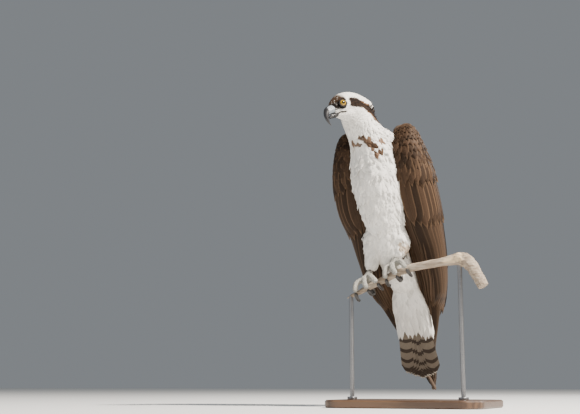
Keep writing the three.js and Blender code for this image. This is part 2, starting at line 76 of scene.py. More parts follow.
lamps = {
    "keyLight": {"place": (1.90, -0.52, 2.55), "size": 0.32, "power": 330, "colour": (1.0, 0.93, 0.84)},
    "fillLight": {"place": (-1.4, -1.6, 0.7), "size": 1.8, "power": 5, "colour": (0.80, 0.89, 1.0)},
    "backLight": {"place": (0.4, 1.9, 1.5), "size": 1.2, "power": 14, "colour": (1.0, 1.0, 1.0)},
}
lampTarget = Vector((0, 0, 0.35))
for name, lamp in lamps.items():
    data = bpy.data.lights.new(name, "AREA")
    data.shape = "DISK"
    data.size = lamp["size"]
    data.energy = lamp["power"]
    data.color = lamp["colour"]
    made = bpy.data.objects.new(name, data)
    bpy.context.scene.collection.objects.link(made)
    made.location = lamp["place"]
    made.rotation_euler = (lampTarget - Vector(lamp["place"])).to_track_quat("-Z", "Y").to_euler()
studio = {"colour": (0.80, 0.86, 0.92, 1), "strength": 0.27}
world = bpy.data.worlds.new("studio")
bpy.context.scene.world = world
world.use_nodes = True
background = world.node_tree.nodes["Background"]
background.inputs["Color"].default_value = studio["colour"]
background.inputs["Strength"].default_value = studio["strength"]
print("camera and lights set")

# shader wiring


def addNode(tree, kind, settings, inputs):  # settings go first, then the sockets' values or links
    made = tree.nodes.new("ShaderNode" + kind)
    for key, value in settings.items():
        if key == "stops":
            ramp = made.color_ramp
            while len(ramp.elements) < len(value):
                ramp.elements.new(0.5)
            for element, (place, colour) in zip(ramp.elements, value):
                element.position = place
                element.color = (*colour, 1)
        else:
            setattr(made, key, value)
    for key, value in inputs.items():
        if isinstance(value, Wire):
            tree.links.new(value.socket, made.inputs[key])
        else:
            made.inputs[key].default_value = value
    return made


class Wire:  # a shader socket that can be used in sums
    def __init__(self, tree, socket):
        self.tree = tree
        self.socket = socket

    def math(self, operation, *values):
        made = addNode(self.tree, "Math", {"operation": operation}, dict(enumerate(values)))
        return Wire(self.tree, made.outputs[0])

    def __add__(self, other):
        return self.math("ADD", self, other)

    def __radd__(self, other):
        return self.math("ADD", other, self)

    def __sub__(self, other):
        return self.math("SUBTRACT", self, other)

    def __rsub__(self, other):
        return self.math("SUBTRACT", other, self)

    def __mul__(self, other):
        return self.math("MULTIPLY", self, other)

    def __rmul__(self, other):
        return self.math("MULTIPLY", other, self)

    def __truediv__(self, other):
        return self.math("DIVIDE", self, other)

    def __rtruediv__(self, other):
        return self.math("DIVIDE", other, self)

    def __pow__(self, other):
        return self.math("POWER", self, other)

    def __abs__(self):
        return self.math("ABSOLUTE", self)

    def low(self, other):
        return self.math("MINIMUM", self, other)

    def high(self, other):
        return self.math("MAXIMUM", self, other)

    def sine(self):
        return self.math("SINE", self)

    def step(self, low, high):  # 0 below low, 1 above high, smooth between
        inputs = {"Value": self, "From Min": low, "From Max": high}
        made = addNode(self.tree, "MapRange", {"interpolation_type": "SMOOTHSTEP"}, inputs)
        return Wire(self.tree, made.outputs["Result"])


class Finish:  # one material, with its nodes added one by one
    def __init__(self, name, **constants):
        self.material = bpy.data.materials.new(name)
        self.material.use_nodes = True
        self.tree = self.material.node_tree
        self.shader = self.tree.nodes["Principled BSDF"]
        for key, value in constants.items():
            self.shader.inputs[key.replace("_", " ")].default_value = value

    def node(self, kind, settings, inputs, out=0):
        return Wire(self.tree, addNode(self.tree, kind, settings, inputs).outputs[out])

    def mix(self, factor, first, second, blend="MIX"):
        settings = {"data_type": "RGBA", "blend_type": blend}
        first, second = ((*value, 1) if isinstance(value, tuple) else value for value in (first, second))
        # sockets 6 and 7 are the two colours, and output 2 is the mixed one
        return self.node("Mix", settings, {0: factor, 6: first, 7: second}, 2)

    def noise(self, vector, scale, detail=3.0, rough=0.55):
        inputs = {"Vector": vector, "Scale": scale, "Detail": detail, "Roughness": rough}
        return self.node("TexNoise", {}, inputs, "Fac")

    def place(self):
        return self.node("TexCoord", {}, {}, "Object")

    def split(self, vector):
        made = addNode(self.tree, "SeparateXYZ", {}, {"Vector": vector})
        return [Wire(self.tree, socket) for socket in made.outputs]

    def stretched(self, vector, scale, turn=(0, 0, 0)):
        return self.node("Mapping", {}, {"Vector": vector, "Scale": scale, "Rotation": turn})

    def bump(self, height, strength, distance):
        inputs = {"Height": height, "Strength": strength, "Distance": distance}
        self.feed("Normal", self.node("Bump", {}, inputs))

    def feed(self, name, wire):
        self.tree.links.new(wire.socket, self.shader.inputs[name])


# surfaces that feathers lie on


def curveAt(points, t, centripetal):  # a curve through the points, as the solids are lofted on
    points = np.asarray(points, float)
    count = len(points) - 1
    t = np.clip(np.asarray(t, float), 0, 1)
    place = t * count
    i = np.minimum(place.astype(int), count - 1)
    w = (place - i)[..., None]
    padded = np.vstack([2 * points[0] - points[1], points, 2 * points[-1] - points[-2]])
    p0, p1, p2, p3 = (padded[i + k] for k in range(4))
    if centripetal:
        d0, d1, d2 = (np.maximum(np.linalg.norm(b - a, axis=-1, keepdims=True) ** 0.5, 1e-4)
                      for a, b in ((p0, p1), (p1, p2), (p2, p3)))
        m1 = ((p1 - p0) / d0 - (p2 - p0) / (d0 + d1) + (p2 - p1) / d1) * d1
        m2 = ((p2 - p1) / d1 - (p3 - p1) / (d1 + d2) + (p3 - p2) / d2) * d1
    else:
        m1, m2 = 0.5 * (p2 - p0), 0.5 * (p3 - p1)
    return p1 + w * m1 + w ** 2 * (-3 * p1 + 3 * p2 - 2 * m1 - m2) + w ** 3 * (2 * p1 - 2 * p2 + m1 + m2)


def unit(v):
    return v / np.maximum(np.linalg.norm(v, axis=-1, keepdims=True), 1e-9)


class Loft:  # a skin over stations, as in the solids: place along, turn round, lift off it
    least = 0.2  # half size that no station goes below
    reach = 1e-4  # step along the line that gives its direction

    def __init__(self, centres, halves, square=1.0, forward=(0, -1, 0)):
        self.centres = np.asarray(centres, float)
        self.halves = np.asarray(halves, float)
        self.square = square
        self.forward = np.asarray(forward, float)

    def __call__(self, t, turn, lift):
        t, turn, lift = np.broadcast_arrays(t, turn, lift)
        ahead = curveAt(self.centres, t + self.reach, True)
        behind = curveAt(self.centres, t - self.reach, True)
        tangent = unit(ahead - behind)
        front = unit(self.forward - tangent * (tangent @ self.forward)[..., None])
        side = np.cross(tangent, front)
        size = curveAt(self.halves, t, False)
        c, s = np.cos(np.radians(turn)), np.sin(np.radians(turn))
        halfWidth = np.maximum(size[..., 0], self.least)
        halfDepth = np.maximum(np.where(s > 0, size[..., 1], size[..., 2]), self.least)
        across = (halfWidth + lift) * np.sign(c) * np.abs(c) ** self.square
        depth = (halfDepth + lift) * np.sign(s) * np.abs(s) ** self.square
        return curveAt(self.centres, t, True) + side * across[..., None] + front * depth[..., None]


# stations from the shoulder to the wing's tip: places beside, behind and above the grip, and half sizes
wingShape = {
    "x": (38, 44, 48, 51, 52, 53, 51, 46, 37, 26, 14, 3, -4),
    "y": (-14, -8, -2, 10, 26, 48, 72, 98, 120, 138, 152, 163, 168),
    "z": (282, 268, 238, 196, 148, 100, 52, 6, -38, -84, -130, -180, -206),
    "side": (10, 25, 33, 40, 42, 39, 33, 26, 19, 12, 8, 6, 4),
    "front": (10, 22, 33, 39, 43, 45, 43, 36, 28, 20, 14, 9, 5),
    "back": (11, 30, 47, 61, 67, 63, 53, 41, 31, 21, 15, 10, 6),
    "leanHeights": (-206, -120, -40, 110, 300), "leans": (42, 24, 17, -1, -9.5),
    "left": {"side": 1, "rise": -3, "out": 7, "waist": 0, "crossing": 4},
    "right": {"side": -1, "rise": -9, "out": 1, "waist": 15, "crossing": -4},
}


def wingLoft(name):
    own = wingShape[name]
    x, y, z = (np.array(wingShape[k], float) for k in "xyz")
    low = np.clip(-z / 120, 0, 1)
    tuck = own["waist"] * np.exp(-(((z - 85) / 55) ** 2))
    middle = np.interp(z, wingShape["leanHeights"], wingShape["leans"])
    centres = np.stack([middle + own["side"] * (x + own["out"] * (1 - low) - tuck),
                        y + low * own["crossing"],
                        z + own["rise"] * (1 - low) + gripHeight], 1)
    halves = np.stack([np.array(wingShape[k], float) for k in ("side", "front", "back")], 1)
    return Loft(centres, halves, 0.86)


# the head's own frame: forward is -Y, and the middle of the skull is its origin
headPose = {"place": (-39, -80, 543), "yaw": -26, "pitch": 13, "roll": -14}
headTurn = (Matrix.Rotation(math.radians(headPose["yaw"]), 3, "Z")
            @ Matrix.Rotation(math.radians(headPose["pitch"]), 3, "X")
            @ Matrix.Rotation(math.radians(headPose["roll"]), 3, "Y"))
headAxes = np.array(headTurn)


def toHead(points):  # millimetres in the part's frame to the head's frame
    return (np.asarray(points, float) - np.array(headPose["place"])) @ headAxes


def fromHead(points):  # and back again
    return np.asarray(points, float) @ headAxes.T + np.array(headPose["place"])


# mesh helpers


def meshObject(name, points, faces, material):  # points in metres
    data = bpy.data.meshes.new(name)
    data.from_pydata([tuple(p) for p in points], [], [tuple(f) for f in faces])
    data.materials.append(material)
    piece = bpy.data.objects.new(name, data)
    bpy.context.scene.collection.objects.link(piece)
    data.polygons.foreach_set("use_smooth", [True] * len(data.polygons))
    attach(piece, "root")
    return piece


def select(piece):
    bpy.ops.object.select_all(action="DESELECT")
    piece.select_set(True)
    bpy.context.view_layer.objects.active = piece


def applied(piece, kind, **settings):
    select(piece)
    modifier = piece.modifiers.new(kind.lower(), kind)
    for key, value in settings.items():
        setattr(modifier, key, value)
    bpy.ops.object.modifier_apply(modifier=modifier.name)


def loftPoints(surface, around, rows, lift):  # a closed grid on a loft, with a point at each end
    t, turn = np.meshgrid(np.linspace(0, 1, rows + 2)[1:-1], np.arange(around) * 360 / around, indexing="ij")
    points = surface(t, turn, lift(t, turn)).reshape(-1, 3)
    last = rows * around
    faces = []
    for a in range(rows - 1):
        for b in range(around):
            c = (b + 1) % around
            faces.append((a * around + b, (a + 1) * around + b, (a + 1) * around + c, a * around + c))
    for b in range(around):
        c = (b + 1) % around
        faces += [(last, b, c), (last + 1, (rows - 1) * around + c, (rows - 1) * around + b)]
    return np.vstack([points, surface.centres[0], surface.centres[-1]]), faces


def outward(piece):
    select(piece)
    bpy.ops.object.mode_set(mode="EDIT")
    bpy.ops.mesh.select_all(action="SELECT")
    bpy.ops.mesh.normals_make_consistent(inside=False)
    bpy.ops.object.mode_set(mode="OBJECT")


weldGap = 1e-6


def copyOf(names, name, voxel, smoothing):  # one mesh from copies of the solids, remeshed and smoothed
    copies = []
    for nodeName in names:
        twin = nodes[nodeName].copy()
        twin.data = nodes[nodeName].data.copy()
        twin.parent = None
        twin.matrix_world = Matrix.Identity(4)
        for key in list(twin.keys()):
            del twin[key]
        bpy.context.scene.collection.objects.link(twin)
        twin.hide_render = twin.hide_viewport = False
        twin.hide_set(False)
        copies.append(twin)
    bpy.ops.object.select_all(action="DESELECT")
    for twin in copies:
        twin.select_set(True)
    bpy.context.view_layer.objects.active = copies[0]
    if len(copies) > 1:
        bpy.ops.object.join()
    made = bpy.context.view_layer.objects.active
    made.name = name
    made.data.name = name
    made.data.materials.clear()
    bpy.ops.object.mode_set(mode="EDIT")
    bpy.ops.mesh.select_all(action="SELECT")
    bpy.ops.mesh.remove_doubles(threshold=weldGap)
    bpy.ops.object.mode_set(mode="OBJECT")
    applied(made, "REMESH", mode="VOXEL", voxel_size=voxel * mm, use_smooth_shade=True)
    applied(made, "SMOOTH", factor=0.5, iterations=smoothing)
    return made


def finishPiece(piece, material, slot, *replaced):
    piece.data.materials.clear()
    piece.data.materials.append(material)
    piece.data.polygons.foreach_set("use_smooth", [True] * len(piece.data.polygons))
    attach(piece, "root")
    if replaced:
        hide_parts(*replaced)


def coordinates(piece):  # in millimetres
    flat = np.zeros(len(piece.data.vertices) * 3, np.float32)
    piece.data.vertices.foreach_get("co", flat)
    return flat.reshape(-1, 3).astype(float) / mm


def setCoordinates(piece, points):  # from millimetres
    piece.data.vertices.foreach_set("co", (np.asarray(points) * mm).astype(np.float32).ravel())
    piece.data.update()


def normals(piece):
    flat = np.zeros(len(piece.data.vertices) * 3, np.float32)
    piece.data.vertex_normals.foreach_get("vector", flat)
    return flat.reshape(-1, 3).astype(float)


def paintPoints(data, colours):  # one plumage colour at each point of a mesh
    rgba = np.concatenate([colours, np.ones((len(colours), 1))], 1).astype(np.float32)
    data.attributes.new("plumage", "FLOAT_COLOR", "POINT").data.foreach_set("color", rgba.ravel())


# plumage colours, worked out from the place on the body


tints = {
    "white": (0.80, 0.775, 0.73), "shade": (0.50, 0.47, 0.43), "brown": (0.040, 0.023, 0.0135),
    "dark": (0.010, 0.007, 0.006), "rufous": (0.16, 0.075, 0.03), "tan": (0.42, 0.26, 0.12),
    "tail": (0.24, 0.20, 0.155),
}
tints = {name: np.array(value) for name, value in tints.items()}


def smooth(value, low, high):
    w = np.clip((value - low) / (high - low), 0, 1)
    return w * w * (3 - 2 * w)


def roughly(points, size, seed=0.0):  # soft noise, about -1 to 1, at millimetre points
    scaled = np.asarray(points) / size + seed
    return np.array([noise.noise(Vector(p)) for p in scaled.reshape(-1, 3)]).reshape(scaled.shape[:-1])


def blendTo(base, mask, tint):
    return base + (tints[tint] - base) * mask[..., None]


class Spots:  # points on the body, with what the markings need to know of them
    def __init__(self, points, facing):
        self.points = np.asarray(points, float)
        self.height = self.points[:, 2] - gripHeight
        self.forward = -facing[:, 1]
        # in the head's frame: across, behind the skull's middle and up
        self.across, self.behind, self.up = toHead(self.points).T
        self.body = smooth(self.behind + 0.6 * np.abs(self.up), 34, 50)  # 0 on the head, 1 on the body
        self.rough = roughly(self.points, 7.0, 3.1)
        self.fine = roughly(self.points, 2.4, 8.7)
        self.streaks = 0.5 + 0.5 * np.sin(self.across * 1.3 + self.up * 0.5 + 3.0 * self.rough)


mantle = {"foot": (-40, -10), "napeWidth": 15, "napeFoot": (-60, -44)}


def mantleMarks(colour, at):  # brown back, and the stripe that runs down the nape
    back = smooth(0.12 * at.rough + 0.1 * at.fine - at.forward, 0.4, 0.52)
    colour = blendTo(colour, at.body * back * smooth(at.height, *mantle["foot"]), "brown")
    nape = smooth(mantle["napeWidth"] - np.abs(at.across + 2) + 4 * at.rough, 0, 5)
    nape = nape * smooth(at.behind, 40, 50) * smooth(at.up, *mantle["napeFoot"])
    return blendTo(colour, nape * smooth(-at.forward, 0.0, 0.3), "brown")


# each blotch at the foot of the neck: x, height above the grip, half width and half height
necklace = ((-11, 251, 11, 7), (-6, 245, 6, 5), (1, 240, 6, 7), (9, 229, 7, 5.5), (15, 247, 5, 4),
            (-35, 246, 6, 4), (-25, 239, 8, 3.5), (-13, 236, 9, 3.5))


def necklaceMarks(colour, at):
    blotch = np.zeros(len(at.points))
    for x, height, wide, high in necklace:
        away = ((at.points[:, 0] - x) / wide) ** 2 + ((at.height - height) / high) ** 2
        blotch = np.maximum(blotch, 1.3 - away + 0.7 * at.rough + 0.5 * at.fine)
    blotch = smooth(blotch, 0.1, 0.5) * smooth(at.forward, 0.0, 0.3)
    colour = blendTo(colour, 0.92 * blotch, "rufous")
    return blendTo(colour, blotch * (0.3 + 0.6 * smooth(at.fine + at.rough, -0.1, 0.4)), "brown")


thighStain = {"x": 38, "height": 60, "wide": 12, "high": 13}


def thighMarks(colour, at):
    away = ((at.points[:, 0] - thighStain["x"]) / thighStain["wide"]) ** 2
    away = away + ((at.height - thighStain["height"]) / thighStain["high"]) ** 2
    return blendTo(colour, 0.6 * smooth(np.exp(-away) + 0.3 * at.fine, 0.5, 0.8), "tan")


# rows of distance behind the skull's middle, the stripe's height there and half its width
stripe = {"back": (-12, -4, 9, 20, 30, 42, 56, 70), "height": (0, 2, 0, -7, -15, -19, -22, -26),
          "half": (4, 8.5, 9.5, 10, 12.5, 14, 14, 10)}


def stripeMarks(colour, at):  # from the eye to the nape, ragged and rufous towards its end
    side = smooth(np.abs(at.across), 6, 9)
    side = side + (1 - side) * smooth(at.behind, 44, 52)
    middle = np.interp(at.behind, stripe["back"], stripe["height"])
    half = np.interp(at.behind, stripe["back"], stripe["half"])
    ragged = 1.0 + 1.6 * smooth(at.behind, 5, 30)
    edge = half - np.abs(at.up - middle) + ragged * (1.5 * at.rough + 1.2 * at.fine)
    mask = side * smooth(edge, -0.8, 1.2) * smooth(at.behind, -10, -5) * smooth(74 - at.behind, 0, 8)
    colour = blendTo(colour, mask, "brown")
    colour = blendTo(colour, mask * (0.5 + 0.45 * smooth(at.fine + 0.5 * at.rough, -0.1, 0.4)), "dark")
    return blendTo(colour, 0.8 * mask * smooth(4.5 - edge, 0, 3) * smooth(at.behind, 12, 26), "rufous")


eyeSettings = {"radius": 8.4, "side": 13.0, "front": 19.5, "up": 1.2, "turn": 19.0, "cornea": 0.07,
               "ring": 9.6, "ringBack": 2.2, "crescent": 13.0, "clear": 7.4,
               "lidPlace": 5.5, "lidRadius": 6.75, "lidThick": 1.15, "lidDrop": 0.9}


def loreMarks(colour, at):  # dark streaks before the eye, the ring round it and the pale crescent behind
    lores = smooth(-at.behind, 15, 21) * smooth(at.up, -8.5, -6.0) * smooth(12.5 - at.up + 3 * at.rough, 0, 4)
    lores = lores * (1.15 - 0.55 * smooth(at.streaks + at.fine, 0.75, 1.2))
    colour = blendTo(colour, np.clip(lores, 0, 1), "dark")
    ringFront = eyeSettings["front"] + eyeSettings["ringBack"]
    away = np.hypot(at.behind + ringFront, (at.up - eyeSettings["up"]) * 1.02)
    side = smooth(np.abs(at.across), 8, 11)
    colour = blendTo(colour, side * smooth(eyeSettings["ring"] + 1.2 - away + 0.6 * at.fine, 0, 1.2), "dark")
    crescent = smooth(2.0 - np.abs(away - eyeSettings["crescent"] + 0.1 * (at.up - 2)), 0, 1.0)
    crescent = side * crescent * smooth(at.behind, -20, -16)
    return blendTo(colour, crescent * smooth(9 - at.up, 0, 4) * smooth(at.up, -12, -8), "white")


def foreheadMarks(colour, at):  # streaks that fade into the white crown
    forehead = smooth(at.up, 7, 12) * smooth(-at.behind, 9, 21) * (1 - at.body)
    forehead = np.clip(forehead + smooth(-at.behind, 20, 27) * smooth(at.up, 4, 8), 0, 1)
    colour = blendTo(colour, forehead * (1 - 0.8 * smooth(at.streaks + 0.8 * at.fine, 0.95, 1.3)), "brown")
    crown = smooth(at.up, 12, 17) * smooth(16 - at.behind, 0, 20)
    return blendTo(colour, 0.55 * crown * smooth(at.streaks + at.fine, 1.0, 1.3), "brown")


gape = {"back": (-43, -33, -24, -15), "height": (-12.4, -12.4, -12.6, -13.2), "half": 1.7}


def mouthMarks(colour, at):  # the dark line of the mouth, and grey streaks on chin, cheek and throat; under the head these are partly real streaks and partly painted shadow beneath the chin
    away = np.abs(at.up - np.interp(at.behind, gape["back"], gape["height"]))
    line = smooth(gape["half"] - away, 0, 0.8) * smooth(-14 - at.behind, 0, 1.5)
    line = line * smooth(np.abs(at.across), 3, 5)
    colour = blendTo(colour, line, "dark")
    waves = np.sin((at.up * 0.8 + at.across * 0.4 - at.behind * 0.5) * 1.2 + 3 * at.rough)
    # the grey laid low on the head is partly real streaking and partly painted shadow under the chin and
    # throat
    low = smooth(-8 - at.up, 0, 8) * smooth(22 - at.behind, 0, 24)
    return blendTo(colour, 0.45 * smooth(waves + at.fine, 0.6, 1.2) * low, "shade")


def plumage(points, facing):  # white with soft shades, then each marking over the last
    at = Spots(points, facing)
    colour = np.tile(tints["white"], (len(at.points), 1))
    colour = blendTo(colour, 0.22 * smooth(roughly(at.points, 16.0, 1.7), 0.1, 0.6), "shade")
    for marks in (mantleMarks, necklaceMarks, thighMarks, stripeMarks, loreMarks, foreheadMarks, mouthMarks):
        colour = marks(colour, at)
    return colour


# feather meshes


bakePatch = 0.003  # width of a feather's patch in the map that its colours are baked in
bakeMargin = 0.02


def onMap(u, v):  # roots' places in that map, from shares of the whole
    return bakeMargin + (1 - 2 * bakeMargin) * np.stack([u, v], 1)


def vaneGrid(rows, columns, blunt, narrow, ragged, count):  # a vane's outline, faces and ragged edges
    r = np.linspace(0, 1, rows)
    s = np.linspace(-1, 1, columns)
    end = np.maximum(0, (r - 1 + blunt) / blunt)
    breadth = (narrow + (1 - narrow) * np.minimum(1, r * 2.4)) * np.sqrt(np.maximum(0.012, 1 - end ** 2.6))
    faces = [(a * columns + b, a * columns + b + 1, (a + 1) * columns + b + 1, (a + 1) * columns + b)
             for a in range(rows - 1) for b in range(columns - 1)]
    jitter = rng.uniform(-ragged, ragged, (count, rows, columns)) * (r[None, :, None] ** 3)
    return r, s, breadth, np.array(faces), jitter


def bakeMap(own, rootUv):  # each vane is a patch at its root's place, or has a cell of its own
    if rootUv is not None:
        return rootUv[:, None, None, :] + (own - 0.5) * bakePatch
    number = np.arange(len(own))
    side = math.ceil(math.sqrt(len(own)))
    cell = np.stack([number % side, number // side], -1) / side
    return cell[:, None, None, :] + (0.08 + 0.84 * own) / side


# centre and facing are (count, rows, 3): places along each shaft, and the way the vane faces there
def featherPiece(name, material, centre, facing, width, tone, colour, blunt=0.3, columns=5, narrow=0.55,
                 ragged=0.0, cup=0.10, tilt=0.0, ridge=0.25, rootUv=None):
    count, rows = centre.shape[:2]
    r, s, breadth, faces, jitter = vaneGrid(rows, columns, blunt, narrow, ragged, count)
    along = unit(np.gradient(centre, axis=1))
    length = np.linalg.norm(np.diff(centre, axis=1), axis=2).sum(1)
    across = unit(np.cross(along, facing))
    wide = width[:, None, None]
    half = 0.5 * wide * breadth[None, :, None]
    points = centre[:, :, None, :] + across[:, :, None, :] * (half * s[None, None, :])[..., None]
    rise = (-cup * wide * s ** 2 + np.asarray(tilt) * s + ridge * (np.abs(s) < 0.01)) * np.ones_like(half)
    points = points + facing[:, :, None, :] * rise[..., None]
    sweep = -0.35 * wide * (s ** 2) * (r[None, :, None] ** 2) + jitter * length[:, None, None]
    points = points + along[:, :, None, :] * sweep[..., None]
    total = rows * columns
    allFaces = (faces[None] + np.arange(count)[:, None, None] * total).reshape(-1, 4)
    piece = meshObject(name, points.reshape(-1, 3) * mm, allFaces, material)
    data = piece.data
    paintPoints(data, np.repeat(colour, total, axis=0))
    tones = np.repeat(tone, total).astype(np.float32)
    data.attributes.new("tone", "FLOAT", "POINT").data.foreach_set("value", tones)
    # two maps: the one that the colours are baked in, and the vane's own
    own = np.stack(np.meshgrid((s + 1) / 2, r), -1)
    own = np.broadcast_to(own, (count, rows, columns, 2))
    corners = np.zeros(len(data.loops), np.int32)
    data.loops.foreach_get("vertex_index", corners)
    for mapName, values in (("OFBake", bakeMap(own, rootUv)), ("vane", own)):
        layer = data.uv_layers.new(name=mapName)
        layer.data.foreach_set("uv", values.reshape(-1, 2)[corners].astype(np.float32).ravel())
    data.uv_layers.active = data.uv_layers["OFBake"]
    return piece


def layTier(surface, tier, outer, rows):  # centre lines of one tier of vanes laid on a loft
    count = tier["count"]
    share = np.linspace(0, 1, count)

    def spread(key):
        first, last = tier[key]
        return first + (last - first) * share

    shake = tier.get("shake", 0.006)
    root = spread("root")
    tip = spread("tip") + rng.uniform(-shake, shake, count)
    rootTurn = spread("rootTurn") + rng.uniform(-1.5, 1.5, count)
    tipTurn = spread("tipTurn") + rng.uniform(-2, 2, count)
    r = np.linspace(0, 1, rows)
    t = root[:, None] + (tip - root)[:, None] * r
    turn = rootTurn[:, None] + (tipTurn - rootTurn)[:, None] * r
    if outer < 0:
        turn = 180 - turn
    low, high = tier["lift"]
    lift = (low + (high - low) * r ** 0.7) * np.ones_like(t)
    centre = surface(t, turn, lift)
    out = unit(surface(t, turn, lift + 1.0) - centre)
    across = unit(surface(t, turn + 3, lift) - surface(t, turn - 3, lift))
    along = unit(np.gradient(centre, axis=1))
    facing = unit(np.cross(across, along))
    facing *= np.sign((facing * out).sum(-1, keepdims=True))
    return centre, facing, spread("width"), onMap((turn[:, 0] % 360) / 360, np.clip(t[:, 0], 0, 1))


print("tools ready")

# finishes of the feathers


def featherFinish(name, look):
    made = Finish(name, Roughness=look["rough"], Specular_IOR_Level=0.12)
    base = made.node("Attribute", {"attribute_name": "plumage"}, {}, "Color")
    tone = made.node("Attribute", {"attribute_name": "tone"}, {}, "Fac")
    u, v = made.split(made.node("UVMap", {"uv_map": "vane"}, {}, "UV"))[:2]
    away = abs(u - 0.5) * 2
    # barbs sweep from the shaft to the edge and the tip
    sweep = v * look["barbs"] - away * 5.0
    comb = made.node("CombineXYZ", {}, {"X": sweep, "Y": away * 1.4, "Z": tone * 37.0})
    lines = made.noise(comb, 2.0, 4.0, 0.65)
    lengthways = made.node("CombineXYZ", {}, {"X": u * 16.0, "Y": v * 1.6, "Z": tone * 53.0})
    streaks = made.noise(lengthways, 1.0, 3.0, 0.6)
    shades = [(part - 0.5) * look["range"] + 1 for part in (tone, lines, streaks)]
    shade = shades[0] * shades[1] * shades[2]
    grey = made.node("CombineColor", {}, {"Red": shade, "Green": shade, "Blue": shade})
    colour = made.mix(1.0, base, grey, "MULTIPLY")
    rim = (away.step(0.72, 0.96).high(v.step(0.90, 0.99)) * look["edge"] * (streaks * 0.8 + 0.5)).low(1.0)
    colour = made.mix(rim, colour, look["edgeTint"])
    quill = (1 - away.step(0.02, 0.07)) * (1 - v.step(0.8, 0.95)) * look["shaft"]
    colour = made.mix(quill, colour, (0.02, 0.013, 0.009))
    made.feed("Base Color", colour)
    made.bump(lines * 0.7 + away * -0.3, 0.35, 0.0006)
    return made.material


wingFinish = featherFinish("wing feathers", {
    "edge": 0.24, "barbs": 90.0, "rough": 0.6, "edgeTint": (0.20, 0.125, 0.07), "shaft": 0.5, "range": 0.9})
covertFinish = featherFinish("covert feathers", {
    "edge": 0.42, "barbs": 40.0, "rough": 0.64, "edgeTint": (0.21, 0.13, 0.075), "shaft": 0.5, "range": 0.9})
downFinish = featherFinish("soft body feathers", {
    "edge": 0.0, "barbs": 18.0, "rough": 0.85, "edgeTint": (0.8, 0.78, 0.74), "shaft": 0.0, "range": 0.16})

# skin under the coat, from the solids of the flesh

skinSettings = {"voxel": 1.9, "smoothing": 8, "depth": 2.2, "faceDepth": 0.65}
fleshNodes = ("head", "neck", "torso", "thigh_left", "thigh_right")
skin = copyOf(fleshNodes, "body_skin", skinSettings["voxel"], skinSettings["smoothing"])

# the solids' crest locks are taken back to the plain skull and neck, as finer feathers follow
skullShape = {"centres": ((0, 60, -16), (0, 50, -9), (0, 34, -2), (0, 16, 2), (0, 0, 3)),
              "halves": ((5, 5, 5), (15, 16, 14), (21, 24, 20), (23.5, 27, 23), (23.5, 27, 22)),
              "inside": (0, 30, -2)}
neckShape = {"centres": ((-7, -15, 218), (-12, -28, 248), (-20, -44, 272), (-28, -60, 293), (-36, -72, 310)),
             "halves": ((48, 47, 48), (39, 38, 40), (32, 32, 36), (30, 27, 38), (22, 16, 31)),
             "inside": (-24, -52, 518)}
crest = {"place": (0, 58, -8), "reach": 36, "front": 34, "smoothing": 6}


def noLift(t, turn):
    return 0.0 * t


def crestOff(points):
    grid = 48
    skullLoft = Loft(skullShape["centres"], skullShape["halves"], 1.0, (0, 0, 1))
    neckLoft = Loft(np.array(neckShape["centres"]) + (0, 0, gripHeight), neckShape["halves"])
    skullPoints, skullFaces = loftPoints(skullLoft, grid, grid, noLift)
    neckPoints, neckFaces = loftPoints(neckLoft, grid, grid, noLift)
    trees = [BVHTree.FromPolygons([Vector(p) for p in fromHead(skullPoints)], skullFaces),
             BVHTree.FromPolygons([Vector(p) for p in neckPoints], neckFaces)]
    middles = [Vector(fromHead(skullShape["inside"])), Vector(neckShape["inside"])]
    inHead = toHead(points)
    near = np.linalg.norm(inHead - np.array(crest["place"]), axis=1) < crest["reach"]
    for i in np.nonzero(near & (inHead[:, 1] > crest["front"]))[0]:
        p = Vector(points[i])
        hits = [tree.find_nearest(p) for tree in trees]
        if all((p - hit[0]).dot(hit[0] - middle) > 0 for hit, middle in zip(hits, middles)):
            points[i] = min(hits, key=lambda hit: hit[3])[0]
    return points


setCoordinates(skin, crestOff(coordinates(skin)))
applied(skin, "SMOOTH", factor=0.6, iterations=crest["smoothing"])

# the step where the shoulder meets the left wing is softened
shoulder = {"place": (30, -24, 490), "full": 22, "reach": 40, "smoothing": 40}
shoulderAway = np.linalg.norm(coordinates(skin) - np.array(shoulder["place"]), axis=1)
shoulderGroup = skin.vertex_groups.new(name="shoulder")
for i in np.nonzero(shoulderAway < shoulder["reach"])[0]:
    share = 1 - smooth(shoulderAway[i], shoulder["full"], shoulder["reach"])
    shoulderGroup.add([int(i)], float(share), "REPLACE")
applied(skin, "SMOOTH", factor=0.9, iterations=shoulder["smoothing"], vertex_group="shoulder")
skin.vertex_groups.clear()

# the skin lies inside the solids, less deep on the face
skinPoints = coordinates(skin)
skinFacing = normals(skin)
headPlace = toHead(skinPoints)
nearFace = smooth(-headPlace[:, 1], 0, 20) * smooth(60 - np.linalg.norm(headPlace, axis=1), 0, 10)
depth = skinSettings["depth"] * (1 - skinSettings["faceDepth"] * nearFace)
skinPoints = skinPoints - skinFacing * depth[:, None]
setCoordinates(skin, skinPoints)
paintPoints(skin.data, plumage(skinPoints, skinFacing))
skinFinish = Finish("skin under the feathers", Roughness=0.85)
skinFinish.feed("Base Color", skinFinish.node("Attribute", {"attribute_name": "plumage"}, {}, "Color"))
skinFinish.bump(skinFinish.noise(skinFinish.place(), 900.0, 3.0), 0.4, 0.0006)
finishPiece(skin, skinFinish.material, "white_feathers", *fleshNodes)
print("skin", len(skin.data.polygons))

# body feathers

# heights over the grip, and the middle of the body there
bodyMiddle = {"height": (-34, 12, 86, 178, 248, 300), "x": (20, 13, 6, -4, -12, -36),
              "y": (90, 60, 26, -4, -28, -66), "foot": -60, "tall": 420}


